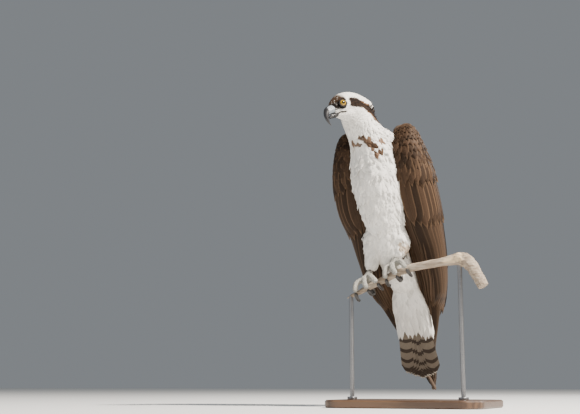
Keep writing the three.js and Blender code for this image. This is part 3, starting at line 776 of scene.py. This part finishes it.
def bodyUnwrap(points):  # round the body's own line, head first
    z = points[:, 2] - gripHeight
    x = points[:, 0] - np.interp(z, bodyMiddle["height"], bodyMiddle["x"])
    y = points[:, 1] - np.interp(z, bodyMiddle["height"], bodyMiddle["y"])
    turn = np.arctan2(x, -y) / (2 * math.pi) + 0.5
    return onMap(turn, np.clip((z - bodyMiddle["foot"]) / bodyMiddle["tall"], 0, 1))


polygons = [tuple(p.vertices) for p in skin.data.polygons]
skinTree = BVHTree.FromPolygons([Vector(p) for p in skinPoints], polygons)
headLine = ((0, -36, 2), (0, -20, 2), (0, 0, 2), (0, 25, 0), (0, 48, -10))
bodyLine = ((-26, -38, 280), (-16, -22, 255), (-7, -5, 215), (-3, 4, 178), (1, 16, 132), (6, 30, 86),
            (8, 46, 46), (13, 66, 12), (17, 84, -14), (22, 104, -50))
spine = np.vstack([fromHead(headLine), np.array(bodyLine) + (0, 0, gripHeight)])
spineDense = curveAt(spine, np.linspace(0, 1, 400), True)
spineAlong = unit(np.gradient(spineDense, axis=0))


def lie(points, facing):  # which way the feathers point
    nearest = np.array([np.argmin(((spineDense - p) ** 2).sum(1)) for p in points])
    flow = spineAlong[nearest].copy()
    z = points[:, 2] - gripHeight
    thigh = smooth(100 - z, 0, 40) * smooth(40 - points[:, 1], 0, 20)
    flow = flow + (np.array([0, 0.05, -1.0]) - flow) * thigh[:, None]
    return onSurface(flow, facing)


def onSurface(flow, facing):  # the part of a direction that lies along the skin
    return unit(flow - facing * (flow * facing).sum(1, keepdims=True))


coat = {"body": 27.0, "neck": 18.0, "thigh": 21.0, "head": 8.5, "face": 4.2, "crest": 12.0,
        "headReach": 52, "breastFoot": 150,
        "spacing": 0.235, "loose": 0.185, "least": 1.05, "tries": 110000, "rows": 7, "columns": 5}


def sizeOf(points):  # length, width and lift of a feather by its place
    head = toHead(points)
    away = np.linalg.norm(head - np.array([0, 4, 0]), axis=1)
    onHead = 1 - smooth(away + 0.2 * head[:, 1], 38, 60)
    face = onHead * smooth(-head[:, 1], -8, 18)
    z = points[:, 2] - gripHeight
    thigh = smooth(75 - z, 0, 25)
    neck = (1 - onHead) * smooth(z, 235, 275)
    length = coat["body"] - (coat["body"] - coat["neck"]) * neck - (coat["body"] - coat["thigh"]) * thigh
    length = length + (coat["head"] - length) * onHead
    length = length + (coat["face"] - length) * face
    nape = (1 - smooth(np.hypot(head[:, 1] - 52, head[:, 2] + 8), 14, 30)) * onHead
    length = length + coat["crest"] * nape
    width = length * (0.5 - 0.12 * onHead)
    clump = smooth(roughly(points, 15.0, 5.5), -0.1, 0.5) * (1 - onHead)
    lift = length * (0.10 + 0.26 * nape + 0.10 * clump) + 0.2
    return length, width, lift


def gapsAt(points):
    length = sizeOf(points)[0]
    return np.maximum(coat["least"], length * np.where(length > 10, coat["loose"], coat["spacing"]))


def isFree(spots, cells, p, gap, size):  # whether no feather stands nearer to p than the gap
    reach = range(-math.ceil(gap / size), math.ceil(gap / size) + 1)
    key = (p // size).astype(int)
    for x in reach:
        for y in reach:
            for z in reach:
                for j in cells.get((size, key[0] + x, key[1] + y, key[2] + z), ()):
                    if ((spots[j] - p) ** 2).sum() < gap * gap:
                        return False
    return True


def scatterOn(points, facing, polygons, tries):  # roots of feathers, no two of them too near
    tri = np.array([(p[0], p[1], p[2]) for p in polygons]
                   + [(p[0], p[2], p[3]) for p in polygons if len(p) == 4])
    a, b, c = points[tri[:, 0]], points[tri[:, 1]], points[tri[:, 2]]
    area = 0.5 * np.linalg.norm(np.cross(b - a, c - a), axis=1)
    gaps = gapsAt(a)
    weight = area / gaps ** 2
    pick = rng.choice(len(tri), size=tries, p=weight / weight.sum())
    w1, w2 = rng.random(tries), rng.random(tries)
    flip = w1 + w2 > 1
    w1[flip], w2[flip] = 1 - w1[flip], 1 - w2[flip]
    spots = a[pick] + (b[pick] - a[pick]) * w1[:, None] + (c[pick] - a[pick]) * w2[:, None]
    kept, cells = [], {}
    for i in range(tries):
        gap = gaps[pick[i]]
        size = 2.0 if gap < 2.0 else 5.0
        if isFree(spots, cells, spots[i], gap, size):
            kept.append(i)
            key = (spots[i] // size).astype(int)
            cells.setdefault((size, *key), []).append(i)
    return spots[kept], facing[tri[pick[kept], 0]]


def treeOf(name):  # a solid's mesh, to find nearest places on, in millimetres
    mesh = nodes[name].data
    faces = [tuple(p.vertices) for p in mesh.polygons]
    return BVHTree.FromPolygons([v.co / mm for v in mesh.vertices], faces)


wingTrees = [treeOf("wing_left"), treeOf("wing_right")]
underWing = 3.0  # depth inside a wing's solid from which no feather is wanted


def inWing(p):
    for tree in wingTrees:
        place, normal = tree.find_nearest(p)[:2]
        if (p - place).dot(normal) < -underWing:
            return True
    return False


def eyeAxis(side):  # in the head's frame, outwards
    turn = math.radians(eyeSettings["turn"])
    return np.array([side * math.cos(turn), -math.sin(turn), 0.0])


def eyeCentre(side):
    return np.array([side * eyeSettings["side"], -eyeSettings["front"], eyeSettings["up"]])


billClear = {"from": -37, "around": 9.5, "middle": -5, "top": 2, "front": -45}


def bareSpots(spots):  # under the wings, on the eyes and on the bill nothing grows
    bare = np.array([inWing(Vector(p)) for p in spots])
    inHead = toHead(spots)
    for side in (1, -1):
        offset = inHead - eyeCentre(side)
        along = offset @ eyeAxis(side)
        radial = np.linalg.norm(offset - along[:, None] * eyeAxis(side), axis=1)
        bare |= (along > 0) & (radial < eyeSettings["clear"])
    billAway = np.hypot(inHead[:, 0], inHead[:, 2] - billClear["middle"])
    onBill = (inHead[:, 1] < billClear["from"]) & (billAway < billClear["around"])
    bare |= onBill & (inHead[:, 2] < billClear["top"])
    return bare | (inHead[:, 1] <= billClear["front"])


def coatFeathers():
    spots, normal = scatterOn(skinPoints, skinFacing, polygons, coat["tries"])
    covered = ~bareSpots(spots)
    spots, normal = spots[covered], unit(normal[covered])
    length, width, lift = sizeOf(spots)
    count, rows = len(spots), coat["rows"]
    centre = np.zeros((count, rows, 3))
    facing = np.zeros((count, rows, 3))
    flow = lie(spots, normal)
    turned = rng.normal(0, 0.13, count) + 0.5 * roughly(spots, 22.0, 2.2)
    flow = unit(flow + np.cross(normal, flow) * turned[:, None])
    length = length * rng.uniform(0.8, 1.2, count)
    width = width * rng.uniform(0.85, 1.15, count)
    rootFacing, here = normal.copy(), spots.copy()
    # each shaft goes along the skin step by step, and rises off it to its tip
    for k in range(rows):
        share = k / (rows - 1)
        centre[:, k] = here + normal * (0.1 + lift * share ** 0.8 * rng.uniform(0.7, 1.3, count))[:, None]
        facing[:, k] = normal
        if k < rows - 1:
            ahead = here + flow * (length / (rows - 1))[:, None]
            for i in range(count):
                place, skinNormal = skinTree.find_nearest(Vector(ahead[i]))[:2]
                here[i] = place
                blended = normal[i] * 0.5 + np.array(skinNormal) * 0.5
                normal[i] = blended / np.linalg.norm(blended)
            flow = onSurface(flow, normal)
    tone = rng.random(count)
    paint = plumage(spots + flow * (0.35 * length)[:, None], rootFacing) * rng.uniform(0.93, 1.05, (count, 1))
    rootUv = bodyUnwrap(spots)
    onHead = np.linalg.norm(toHead(spots) - np.array([0, 8, 0]), axis=1) < coat["headReach"]
    high = spots[:, 2] > gripHeight + coat["breastFoot"]
    parts = (("coat_head", "head_feathers", onHead), ("coat_breast", "white_feathers", ~onHead & high),
             ("coat_belly", "white_feathers", ~onHead & ~high))
    for name, slot, own in parts:
        featherPiece(name, downFinish, centre[own], facing[own], width[own], tone[own], paint[own],
                     blunt=0.5, columns=coat["columns"], ragged=0.05, cup=0.14, ridge=0.0, rootUv=rootUv[own])
        print(name, int(own.sum()))


coatFeathers()

# wings

# each tier's first and last vane: root and tip are shares of the wing's length, the turns go round it
wingTiers = {
    "marginal": {"rows": 11, "from": 0.02, "to": 0.215, "reach": 0.055, "count": 15, "turns": (112, -118),
                 "width": 16},
    "median": {"count": 13, "root": (0.16, 0.2), "tip": (0.285, 0.31), "rootTurn": (98, -86),
               "tipTurn": (92, -90), "lift": (-2.2, 2.6), "width": (21, 23)},
    "greater": {"count": 14, "root": (0.22, 0.27), "tip": (0.40, 0.44), "rootTurn": (96, -84),
                "tipTurn": (88, -92), "lift": (-2.5, 1.9), "width": (23, 25)},
    "tertial": {"count": 5, "root": (0.27, 0.3), "tip": (0.6, 0.52), "rootTurn": (-46, -104),
                "tipTurn": (-52, -108), "lift": (-2.5, 1.2), "width": (30, 32)},
    "secondary": {"count": 15, "root": (0.32, 0.36), "tip": (0.66, 0.73), "rootTurn": (88, -78),
                  "tipTurn": (72, -86), "lift": (-2.8, 0.6), "width": (26, 26), "shade": 0.85},
    "primaryCovert": {"count": 7, "root": (0.36, 0.44), "tip": (0.55, 0.62), "rootTurn": (104, 70),
                      "tipTurn": (98, 56), "lift": (-3.2, 0.0), "width": (16, 18), "shade": 0.75},
    "primary": {"count": 10, "root": (0.48, 0.66), "tip": (0.80, 0.985), "rootTurn": (96, 30),
                "tipTurn": (60, -20), "lift": (-3.0, -0.6), "width": (20, 17), "shade": 0.62},
    "lining": {"count": 8, "root": (0.34, 0.4), "tip": (0.68, 0.74), "rootTurn": (104, 176),
               "tipTurn": (100, 168), "lift": (-4.2, -1.8), "width": (28, 26)},
    "scapular": {"rows": 4, "from": 0.05, "to": 0.24, "reach": 0.13, "count": 7, "turns": (-84, -160),
                 "width": 30},
}
wingJobs = {
    "flight": {"finish": wingFinish, "rows": 15, "columns": 7, "blunt": 0.16, "narrow": 0.55,
               "tiers": ("primary", "secondary", "primaryCovert", "tertial", "lining")},
    "coverts": {"finish": covertFinish, "rows": 9, "columns": 7, "blunt": 0.34, "narrow": 0.55,
                "tiers": ("greater", "median")},
    "scales": {"finish": covertFinish, "rows": 6, "columns": 5, "blunt": 0.5, "narrow": 0.7,
               "tiers": ("marginal", "scapular")},
}
wingCore = {"around": 48, "rows": 90, "depth": -4.2, "tipRise": 2.6}


def rowsOf(tier):  # a tier of small overlapping coverts is many rows, one after another
    if "rows" not in tier:
        return [tier]
    made = []
    for k in range(tier["rows"]):
        share = k / (tier["rows"] - 1)
        start = tier["from"] + (tier["to"] - tier["from"]) * share
        grown = 0.7 + 0.5 * share
        end = start + tier["reach"] * grown
        shift = (k % 2) * 0.5 * (tier["turns"][1] - tier["turns"][0]) / tier["count"]
        turns = (tier["turns"][0] + shift, tier["turns"][1] + shift)
        made.append({"count": tier["count"], "root": (start, start), "tip": (end, end), "rootTurn": turns,
                     "tipTurn": (turns[0] - 3, turns[1] - 3), "lift": (-1.4, 3.2 - 0.9 * share),
                     "width": (tier["width"] * grown,) * 2, "shake": 0.01})
    return made


def wingFeathers(name):
    outer = -wingShape[name]["side"]
    surface = wingLoft(name)
    for label, job in wingJobs.items():
        laid, paints = [], []
        for kind in job["tiers"]:
            tier = wingTiers[kind]
            for row in rowsOf(tier):
                laid.append(layTier(surface, row, outer, job["rows"]))
                paints.append(np.tile(tints["brown"] * tier.get("shade", 1.0), (row["count"], 1)))
        centre, facing, width, rootUv = (np.concatenate(parts) for parts in zip(*laid))
        count = len(centre)
        paint = np.concatenate(paints) * rng.uniform(0.75, 1.3, (count, 1))
        piece = featherPiece(f"wing_{name}_{label}", job["finish"], centre, facing, width,
                             rng.random(count), paint, blunt=job["blunt"], columns=job["columns"],
                             narrow=job["narrow"], cup=0.05, tilt=outer * 0.9, ridge=0.35, ragged=0.012,
                             rootUv=rootUv if label == "scales" else None)
        if label == "flight":
            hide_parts(f"wing_{name}")
        print(piece.name, count)

    def coreLift(t, turn):  # deep under the feathers, and thicker in the thin tip
        return wingCore["depth"] + wingCore["tipRise"] * smooth(t, 0.75, 1.0)

    points, faces = loftPoints(surface, wingCore["around"], wingCore["rows"], coreLift)
    core = meshObject(f"wing_{name}_core", points * mm, faces, coreFinish.material)
    outward(core)


coreFinish = Finish("wing under the feathers", Roughness=0.8)
grain = coreFinish.noise(coreFinish.stretched(coreFinish.place(), (220, 220, 12)), 1.0, 4.0)
coreFinish.feed("Base Color", coreFinish.mix(grain, (0.035, 0.021, 0.013), (0.10, 0.062, 0.038)))
coreFinish.bump(grain, 0.5, 0.001)
wingFeathers("left")
wingFeathers("right")

# tail

tailShape = {"centres": ((17, 84, -8), (19, 92, -40), (22, 106, -78), (24, 119, -118), (27, 132, -160),
                         (28, 138, -184)),
             "halves": ((24, 14, 14), (33, 13, 11), (34, 9, 7), (34, 5, 4), (32, 3, 3), (18, 1.5, 1.5)),
             "each": 6, "rows": 26, "start": 0.2, "width": 25.0, "step": 1.3, "spread": 5.6}
tailCoverts = {
    "undertail": {"turns": (10, 170), "tint": "white", "finish": downFinish, "reach": 0.42},
    "uppertail": {"turns": (-170, -10), "tint": "brown", "finish": covertFinish, "reach": 0.36},
}
tailLine = np.array(tailShape["centres"], float) + (0, 0, gripHeight)
tailSurface = Loft(tailLine, tailShape["halves"])


def barredFinish():
    made = Finish("barred tail feathers", Roughness=0.62, Specular_IOR_Level=0.12)
    base = made.node("Attribute", {"attribute_name": "plumage"}, {}, "Color")
    tone = made.node("Attribute", {"attribute_name": "tone"}, {}, "Fac")
    u, v = made.split(made.node("UVMap", {"uv_map": "vane"}, {}, "UV"))[:2]
    away = abs(u - 0.5) * 2
    wave = ((v * 8.0 + away * 0.04 + tone * 0.05) * (2 * math.pi)).sine()
    bars = (wave.step(0.25, 0.6) * (1 - v.step(0.84, 0.86))).high(v.step(0.87, 0.885))
    comb = made.node("CombineXYZ", {}, {"X": v * 60.0 - away * 6.0, "Y": away, "Z": tone * 31.0})
    barbs = made.noise(comb, 1.0, 3.0)
    colour = made.mix(bars * 0.92, base, (0.045, 0.032, 0.025))
    colour = made.mix(v.step(0.955, 0.975), colour, (0.62, 0.56, 0.47))
    colour = made.mix(barbs * 0.35, colour, (0.03, 0.02, 0.015))
    made.feed("Base Color", colour)
    made.bump(barbs, 0.3, 0.0005)
    return made.material


def tailVanes():  # twelve, fanned a little, the middle ones on top
    rows, start = tailShape["rows"], tailShape["start"]
    r = np.linspace(0, 1, rows)
    centres, paints = [], []
    for i in range(tailShape["each"]):
        for side in (1, -1):
            end = 1 - 0.016 * i + rng.uniform(-0.008, 0.008)
            t = start + (end - start) * r
            shaft = curveAt(tailLine, t, True)
            shaft[:, 0] += side * (2.2 + i * tailShape["spread"]) * (0.3 + 0.7 * t)
            shaft[:, 1] += 3.4 - i * tailShape["step"] - side * 0.35
            centres.append(shaft)
            paints.append(tints["tail"] * rng.uniform(0.9, 1.1))
    count = len(centres)
    facing = np.tile((0.0, -1.0, 0.0), (count, rows, 1))
    width = np.full(count, tailShape["width"])
    piece = featherPiece("tail_feathers", barredFinish(), np.array(centres), facing, width,
                         rng.random(count), np.array(paints), blunt=0.12, columns=9, narrow=0.7, cup=0.02,
                         ridge=-0.4, ragged=0.006)
    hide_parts("tail")


def tailRoot():  # the flesh under the coverts
    root = Loft(tailSurface.centres[:3], tailSurface.halves[:3])
    points, faces = loftPoints(root, 28, 24, lambda t, turn: -4 - 3 * t ** 2)
    outward(meshObject("tail_root", points * mm, faces, coreFinish.material))


def coverts(label):  # eight rows below or above the tail's root
    own = tailCoverts[label]
    laid = []
    for k in range(8):
        start = -0.02 + k * own["reach"] / 8
        tier = {"count": 15 - k // 2, "root": (start, start), "tip": (start + 0.19, start + 0.19),
                "rootTurn": own["turns"], "tipTurn": own["turns"], "lift": (-1.5, 2.4 - 0.2 * k),
                "width": (12, 12), "shake": 0.05}
        laid.append(layTier(tailSurface, tier, 1, 8))
    centre, facing, width, rootUv = (np.concatenate(parts) for parts in zip(*laid))
    count = len(centre)
    paint = np.tile(tints[own["tint"]], (count, 1)) * rng.uniform(0.8, 1.05, (count, 1))
    featherPiece(f"{label}_coverts", own["finish"], centre, facing, width, rng.random(count),
                 paint, blunt=0.5, columns=5, cup=0.1, ridge=0.0, ragged=0.03, rootUv=rootUv)


tailVanes()
tailRoot()
coverts("undertail")
coverts("uppertail")
print("tail done")

# eyes, lids and bill

def eyeMaterial(name, centre, axis):  # rings of colour round the eye's own axis
    made = Finish(name, Roughness=0.16, Coat_Weight=0.3, Coat_Roughness=0.03, Specular_IOR_Level=0.4)
    shifted = made.node("VectorMath", {"operation": "SUBTRACT"}, {0: made.place(), 1: tuple(centre)})
    along = made.node("VectorMath", {"operation": "DOT_PRODUCT"}, {0: shifted, 1: tuple(axis)}, "Value")
    far = made.node("VectorMath", {"operation": "LENGTH"}, {0: shifted}, "Value")
    radial = (far * far - along * along).high(0.0) ** 0.5 / mm  # millimetres off the eye's axis
    rays = made.noise(made.stretched(shifted, (900, 900, 900)), 1.0, 4.0, 0.7)
    iris = made.mix(rays, (0.27, 0.145, 0.003), (0.46, 0.29, 0.01))
    iris = made.mix(radial.step(4.4, 5.5), iris, (0.16, 0.07, 0.008))
    iris = made.mix(1 - radial.step(2.9, 3.1), iris, (0.003, 0.003, 0.003))
    iris = made.mix(radial.step(5.5, 5.8), iris, (0.012, 0.009, 0.008))
    made.feed("Base Color", iris)
    return made.material


def eyeball(name, centre, axis):
    bpy.ops.object.select_all(action="DESELECT")
    bpy.ops.mesh.primitive_uv_sphere_add(segments=48, ring_count=32, radius=eyeSettings["radius"] * mm,
                                         location=centre)
    ball = bpy.context.active_object
    ball.name = f"eyeball_{name}"
    ball.rotation_euler = axis.to_track_quat("Z", "Y").to_euler()
    bpy.ops.object.transform_apply(location=True, rotation=True, scale=True)
    # the cornea stands a little proud of the ball
    middle = np.array(centre) / mm
    spokes = coordinates(ball) - middle
    proud = eyeSettings["cornea"] * smooth(unit(spokes) @ np.array(axis), 0.78, 1.0)
    setCoordinates(ball, middle + spokes * (1 + proud)[:, None])
    finishPiece(ball, eyeMaterial(f"eye {name}", centre, axis), "eye", f"eye_{name}")


def eyelid(name, side, centre, axis):  # a soft rim, drawn down and thicker above
    bpy.ops.object.select_all(action="DESELECT")
    bpy.ops.mesh.primitive_torus_add(major_segments=56, minor_segments=14,
                                     major_radius=eyeSettings["lidRadius"] * mm,
                                     minor_radius=eyeSettings["lidThick"] * mm,
                                     location=centre + axis * (eyeSettings["lidPlace"] * mm),
                                     rotation=axis.to_track_quat("Z", "Y").to_euler())
    rim = bpy.context.active_object
    rim.name = f"eyelid_{name}"
    bpy.ops.object.transform_apply(location=True, rotation=True, scale=True)
    local = toHead(coordinates(rim)) - eyeCentre(side)
    above = smooth(local[:, 2], -2, 6)
    local[:, 2] -= above * eyeSettings["lidDrop"]
    local = local + eyeAxis(side) * (0.5 * above[:, None])
    local += roughly(local, 2.0, 4.0)[:, None] * 0.12
    setCoordinates(rim, fromHead(local + eyeCentre(side)))
    finishPiece(rim, lidFinish.material, "head_feathers")


lidFinish = Finish("eyelid skin", Roughness=0.7, Specular_IOR_Level=0.25)
lidNoise = lidFinish.noise(lidFinish.place(), 1500.0, 3.0)
lidFinish.feed("Base Color", lidFinish.mix(lidNoise, (0.006, 0.005, 0.005), (0.02, 0.018, 0.017)))
lidFinish.bump(lidNoise, 0.4, 0.0003)
for name, side in (("left", 1), ("right", -1)):
    centre = Vector(fromHead(eyeCentre(side)) * mm)
    axis = Vector(headAxes @ eyeAxis(side))
    eyeball(name, centre, axis)
    eyelid(name, side, centre, axis)
print("eyes done")

upperShape = {"centres": ((0, -32, -4), (0, -40, -5), (0, -47, -7), (0, -52.5, -12), (0, -54.5, -19),
                          (0, -54, -26), (0, -51, -34)),
              "halves": ((8, 9, 7.5), (8.2, 9.6, 7.4), (7, 8.4, 6.8), (5, 6, 5.8), (3.4, 4.2, 4.6),
                         (2.1, 2.6, 2.8), (0.4, 0.5, 0.5))}
lowerShape = {"centres": ((0, -28, -14.4), (0, -36, -15), (0, -44, -16.4), (0, -50, -18.6)),
              "halves": ((6, 2, 3.4), (6.2, 2.6, 3.8), (5, 2.6, 3.4), (2.6, 1.4, 2))}
billMesh = {"around": 64, "rows": 90, "forward": (0, -0.7071, 0.7071)}
nostril = {"place": (7.6, -43.5, -3.6), "deep": 1.5, "long": 1.9, "wide": 0.8, "reach": 4}


def hornFinish():  # black horn, with the pale soft root that the nostrils lie in
    made = Finish("bill horn", Coat_Weight=0.25, Coat_Roughness=0.3, Specular_IOR_Level=0.5)
    place = made.place()
    middle = tuple(fromHead((0, 0, 0)) * mm)
    shifted = made.node("VectorMath", {"operation": "SUBTRACT"}, {0: place, 1: middle})
    dot = {"operation": "DOT_PRODUCT"}
    x, y, z = (made.node("VectorMath", dot, {0: shifted, 1: tuple(axis)}, "Value") / mm for axis in headAxes.T)
    mottle = made.noise(place, 420.0, 4.0)
    root = (y + mottle * 4.0).step(-49.0, -46.0) * z.step(-13.5, -11.5)
    root = root * (abs(x) + z * -0.12).step(3.4, 4.8)
    colour = made.mix(mottle, (0.010, 0.010, 0.012), (0.035, 0.033, 0.035))
    made.feed("Base Color", made.mix(root * 0.9, colour, (0.27, 0.30, 0.33)))
    made.feed("Roughness", mottle * 0.2 + 0.24 + root * 0.25)
    made.bump(mottle, 0.25, 0.0005)
    return made.material


def upperLift(t, turn):  # hollow below, with a sharp edge, and swollen over its root
    height = np.sin(np.radians(turn))
    hollow = -1.3 * (height < -0.2) * (1 - smooth(t, 0.75, 1.0))
    edge = np.exp(-((height + 0.32) ** 2) / 0.02) * smooth(t, 0.1, 0.3) * (1 - smooth(t, 0.7, 0.95))
    return hollow + 0.5 * edge + 0.35 * (1 - smooth(t, 0.36, 0.42))


def nostrils(points):  # a slanting slit pressed into each side
    x = np.abs(points[:, 0]) - nostril["place"][0]
    y = points[:, 1] - nostril["place"][1]
    z = points[:, 2] - nostril["place"][2]
    along = (y * 0.8 + z * 0.6) / nostril["long"]
    across = (y * 0.6 - z * 0.8) / nostril["wide"]
    slit = np.exp(-along ** 2 - across ** 2) * (np.abs(x) < nostril["reach"])
    points[:, 0] -= np.sign(points[:, 0]) * nostril["deep"] * slit
    return points


def horn(name, shape, lift, material):
    surface = Loft(shape["centres"], shape["halves"], 1.0, billMesh["forward"])
    points, faces = loftPoints(surface, billMesh["around"], billMesh["rows"], lift)
    if name == "upper":
        points = nostrils(points)
    piece = meshObject(f"horn_{name}", fromHead(points) * mm, faces, material)
    outward(piece)
    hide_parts(f"bill_{name}")


billMaterial = hornFinish()
horn("upper", upperShape, upperLift, billMaterial)
horn("lower", lowerShape, noLift, billMaterial)
print("bill done")

# feet and claws

toes = ("inner", "middle", "outer", "back")
footSettings = {"voxel": 0.7, "smoothing": 3, "scale": 2.8, "pad": 8.0}
clawSettings = {"voxel": 0.32, "smoothing": 5, "grown": 0.35}

footFinish = Finish("scaly foot skin", Roughness=0.55, Specular_IOR_Level=0.4)
footPlace = footFinish.place()
scales = footFinish.node("TexVoronoi", {"feature": "DISTANCE_TO_EDGE"}, {"Vector": footPlace, "Scale": 620.0})
footMottle = footFinish.noise(footPlace, 160.0, 4.0)
footColour = footFinish.mix(footMottle, (0.36, 0.36, 0.32), (0.62, 0.60, 0.54))
footColour = footFinish.mix(1 - scales.step(0.02, 0.16), footColour, (0.20, 0.19, 0.17))
footFinish.feed("Base Color", footColour)
footFinish.bump(scales.step(0.0, 0.3) + footMottle * 0.3, 0.7, 0.0012)

clawFinish = Finish("claw horn", Coat_Weight=0.2, Specular_IOR_Level=0.5)
clawMottle = clawFinish.noise(clawFinish.place(), 300.0, 4.0)
clawFinish.feed("Base Color", clawFinish.mix(clawMottle, (0.008, 0.008, 0.008), (0.05, 0.045, 0.042)))
clawFinish.feed("Roughness", clawMottle * 0.25 + 0.22)


def cells(points, size):  # 0 in the middle of a cell of about this size, growing to its edge
    return np.clip([noise.voronoi(Vector(p) / size)[0][0] for p in points], 0, 1)


def foot(name):
    members = [f"tarsus_{name}"] + [f"toe_{name}_{toe}" for toe in toes]
    piece = copyOf(members, f"foot_{name}", footSettings["voxel"], footSettings["smoothing"])
    points = coordinates(piece)
    swell = 1.25 - 0.8 * cells(points, footSettings["scale"]) - 0.9 * cells(points, footSettings["pad"])
    setCoordinates(piece, points + normals(piece) * swell[:, None])
    finishPiece(piece, footFinish.material, "foot_skin", *members)


def talon(name, toe):
    solid = f"claw_{name}_{toe}"
    piece = copyOf([solid], f"talon_{name}_{toe}", clawSettings["voxel"], clawSettings["smoothing"])
    setCoordinates(piece, coordinates(piece) + normals(piece) * clawSettings["grown"])
    finishPiece(piece, clawFinish.material, "claw", solid)


for name in ("left", "right"):
    foot(name)
for name in ("left", "right"):
    for toe in toes:
        talon(name, toe)
print("feet done")

# the cut branch

branchSettings = {"voxel": 1.3, "smoothing": 3, "knotX": 152, "knotHalf": 9, "sunk": 0.4}
# the pale split in the bark, in millimetres
split = {"from": (112, 122), "to": (152, 160), "front": (-12, -8)}

barkFinish = Finish("weathered bark", Roughness=0.85, Specular_IOR_Level=0.25)
barkPlace = barkFinish.place()
ridges = barkFinish.noise(barkFinish.stretched(barkPlace, (40, 330, 330), (0, -0.2, 0)), 1.0, 6.0, 0.62)
patches = barkFinish.noise(barkPlace, 55.0, 4.0)
barkStops = [(0.25, (0.10, 0.075, 0.055)), (0.48, (0.30, 0.235, 0.175)),
             (0.66, (0.47, 0.40, 0.32)), (0.82, (0.62, 0.56, 0.47))]
barkColour = barkFinish.node("ValToRGB", {"stops": barkStops}, {"Fac": ridges * 0.75 + patches * 0.3})
barkX, barkY = (part / mm for part in barkFinish.split(barkPlace)[:2])
splitMask = barkX.step(*split["from"]) * (1 - barkX.step(*split["to"])) * (1 - barkY.step(*split["front"]))
barkColour = barkFinish.mix(splitMask * patches.step(0.38, 0.5), barkColour, (0.70, 0.55, 0.36))
barkFinish.feed("Base Color", barkColour)
barkFinish.bump(ridges + patches * 0.4, 0.9, 0.002)

branch = copyOf(["perch"], "branch", branchSettings["voxel"], branchSettings["smoothing"])
points = coordinates(branch)
fine = roughly(points * np.array([0.12, 1, 1]), 2.6, 5.0)
coarse = roughly(points * np.array([0.3, 1, 1]), 7.0, 9.0)
knotAway = (points[:, 0] - branchSettings["knotX"]) / branchSettings["knotHalf"]
knot = np.exp(-knotAway ** 2) * roughly(points, 6.0, 2.0) * 2.0
raised = fine * 0.55 + coarse * 0.8 + knot - branchSettings["sunk"]
setCoordinates(branch, points + normals(branch) * raised[:, None])
finishPiece(branch, barkFinish.material, "bark", "perch")
print("branch done")

# stand

baseFinish = Finish("dark stained wood", Roughness=0.42, Coat_Weight=0.3, Coat_Roughness=0.25)
basePlace = baseFinish.place()
ringsPlace = baseFinish.stretched(basePlace, (3.0, 14.0, 14.0), (0.05, 0.02, 0.1))
rings = baseFinish.node("TexWave", {"wave_type": "RINGS", "rings_direction": "X"},
                        {"Vector": ringsPlace, "Scale": 2.4, "Distortion": 5.0, "Detail": 3.0,
                         "Detail Scale": 1.6}, "Fac")
pores = baseFinish.noise(baseFinish.stretched(basePlace, (30, 900, 900)), 1.0, 4.0)
grainColour = baseFinish.mix(rings * 0.7 + pores * 0.3, (0.045, 0.022, 0.011), (0.13, 0.07, 0.036))
baseFinish.feed("Base Color", grainColour)
baseFinish.bump(pores, 0.2, 0.0004)

steelFinish = Finish("brushed dark steel", Metallic=1.0)
brushed = steelFinish.noise(steelFinish.stretched(steelFinish.place(), (60, 60, 3000)), 1.0, 3.0)
steelFinish.feed("Base Color", steelFinish.mix(brushed, (0.20, 0.20, 0.21), (0.38, 0.38, 0.39)))
steelFinish.feed("Roughness", brushed * 0.25 + 0.25)

collar = {"radius": 0.009, "height": 0.005, "foot": 0.0143, "bevel": 0.0012, "smoothAngle": 35}


def dress(name, material):  # a solid that is shown as it is, with its finish
    nodes[name].data.materials.clear()
    nodes[name].data.materials.append(material)


def rod(name):  # the solid rod, and a collar where it enters the base
    dress(name, steelFinish.material)
    select(nodes[name])
    bpy.ops.object.shade_smooth_by_angle(angle=math.radians(collar["smoothAngle"]))
    low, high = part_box(name)
    place = ((low.x + high.x) / 2, (low.y + high.y) / 2, collar["foot"] + collar["height"] / 2)
    bpy.ops.object.select_all(action="DESELECT")
    bpy.ops.mesh.primitive_cylinder_add(vertices=40, radius=collar["radius"], depth=collar["height"],
                                        location=place)
    piece = bpy.context.active_object
    piece.name = name.replace("stand_", "stand_collar_")
    bpy.ops.object.transform_apply(location=True, rotation=True, scale=True)
    applied(piece, "BEVEL", width=collar["bevel"], segments=3, limit_method="ANGLE")
    finishPiece(piece, steelFinish.material, "stand_metal")


dress("stand_base", baseFinish.material)
rod("stand_rod_left")
rod("stand_rod_right")
print("stand done")

# floor

floorFinish = Finish("floor", Roughness=0.9)
floorNoise = floorFinish.noise(floorFinish.place(), 3.0, 2.0)
floorFinish.feed("Base Color", floorFinish.mix(floorNoise, (0.80, 0.80, 0.79), (0.83, 0.83, 0.82)))
bpy.ops.object.select_all(action="DESELECT")
bpy.ops.mesh.primitive_plane_add(size=14, location=(0, 0, 0))
floor = bpy.context.active_object
floor.name = "floor"
floor.data.materials.append(floorFinish.material)

print("done")
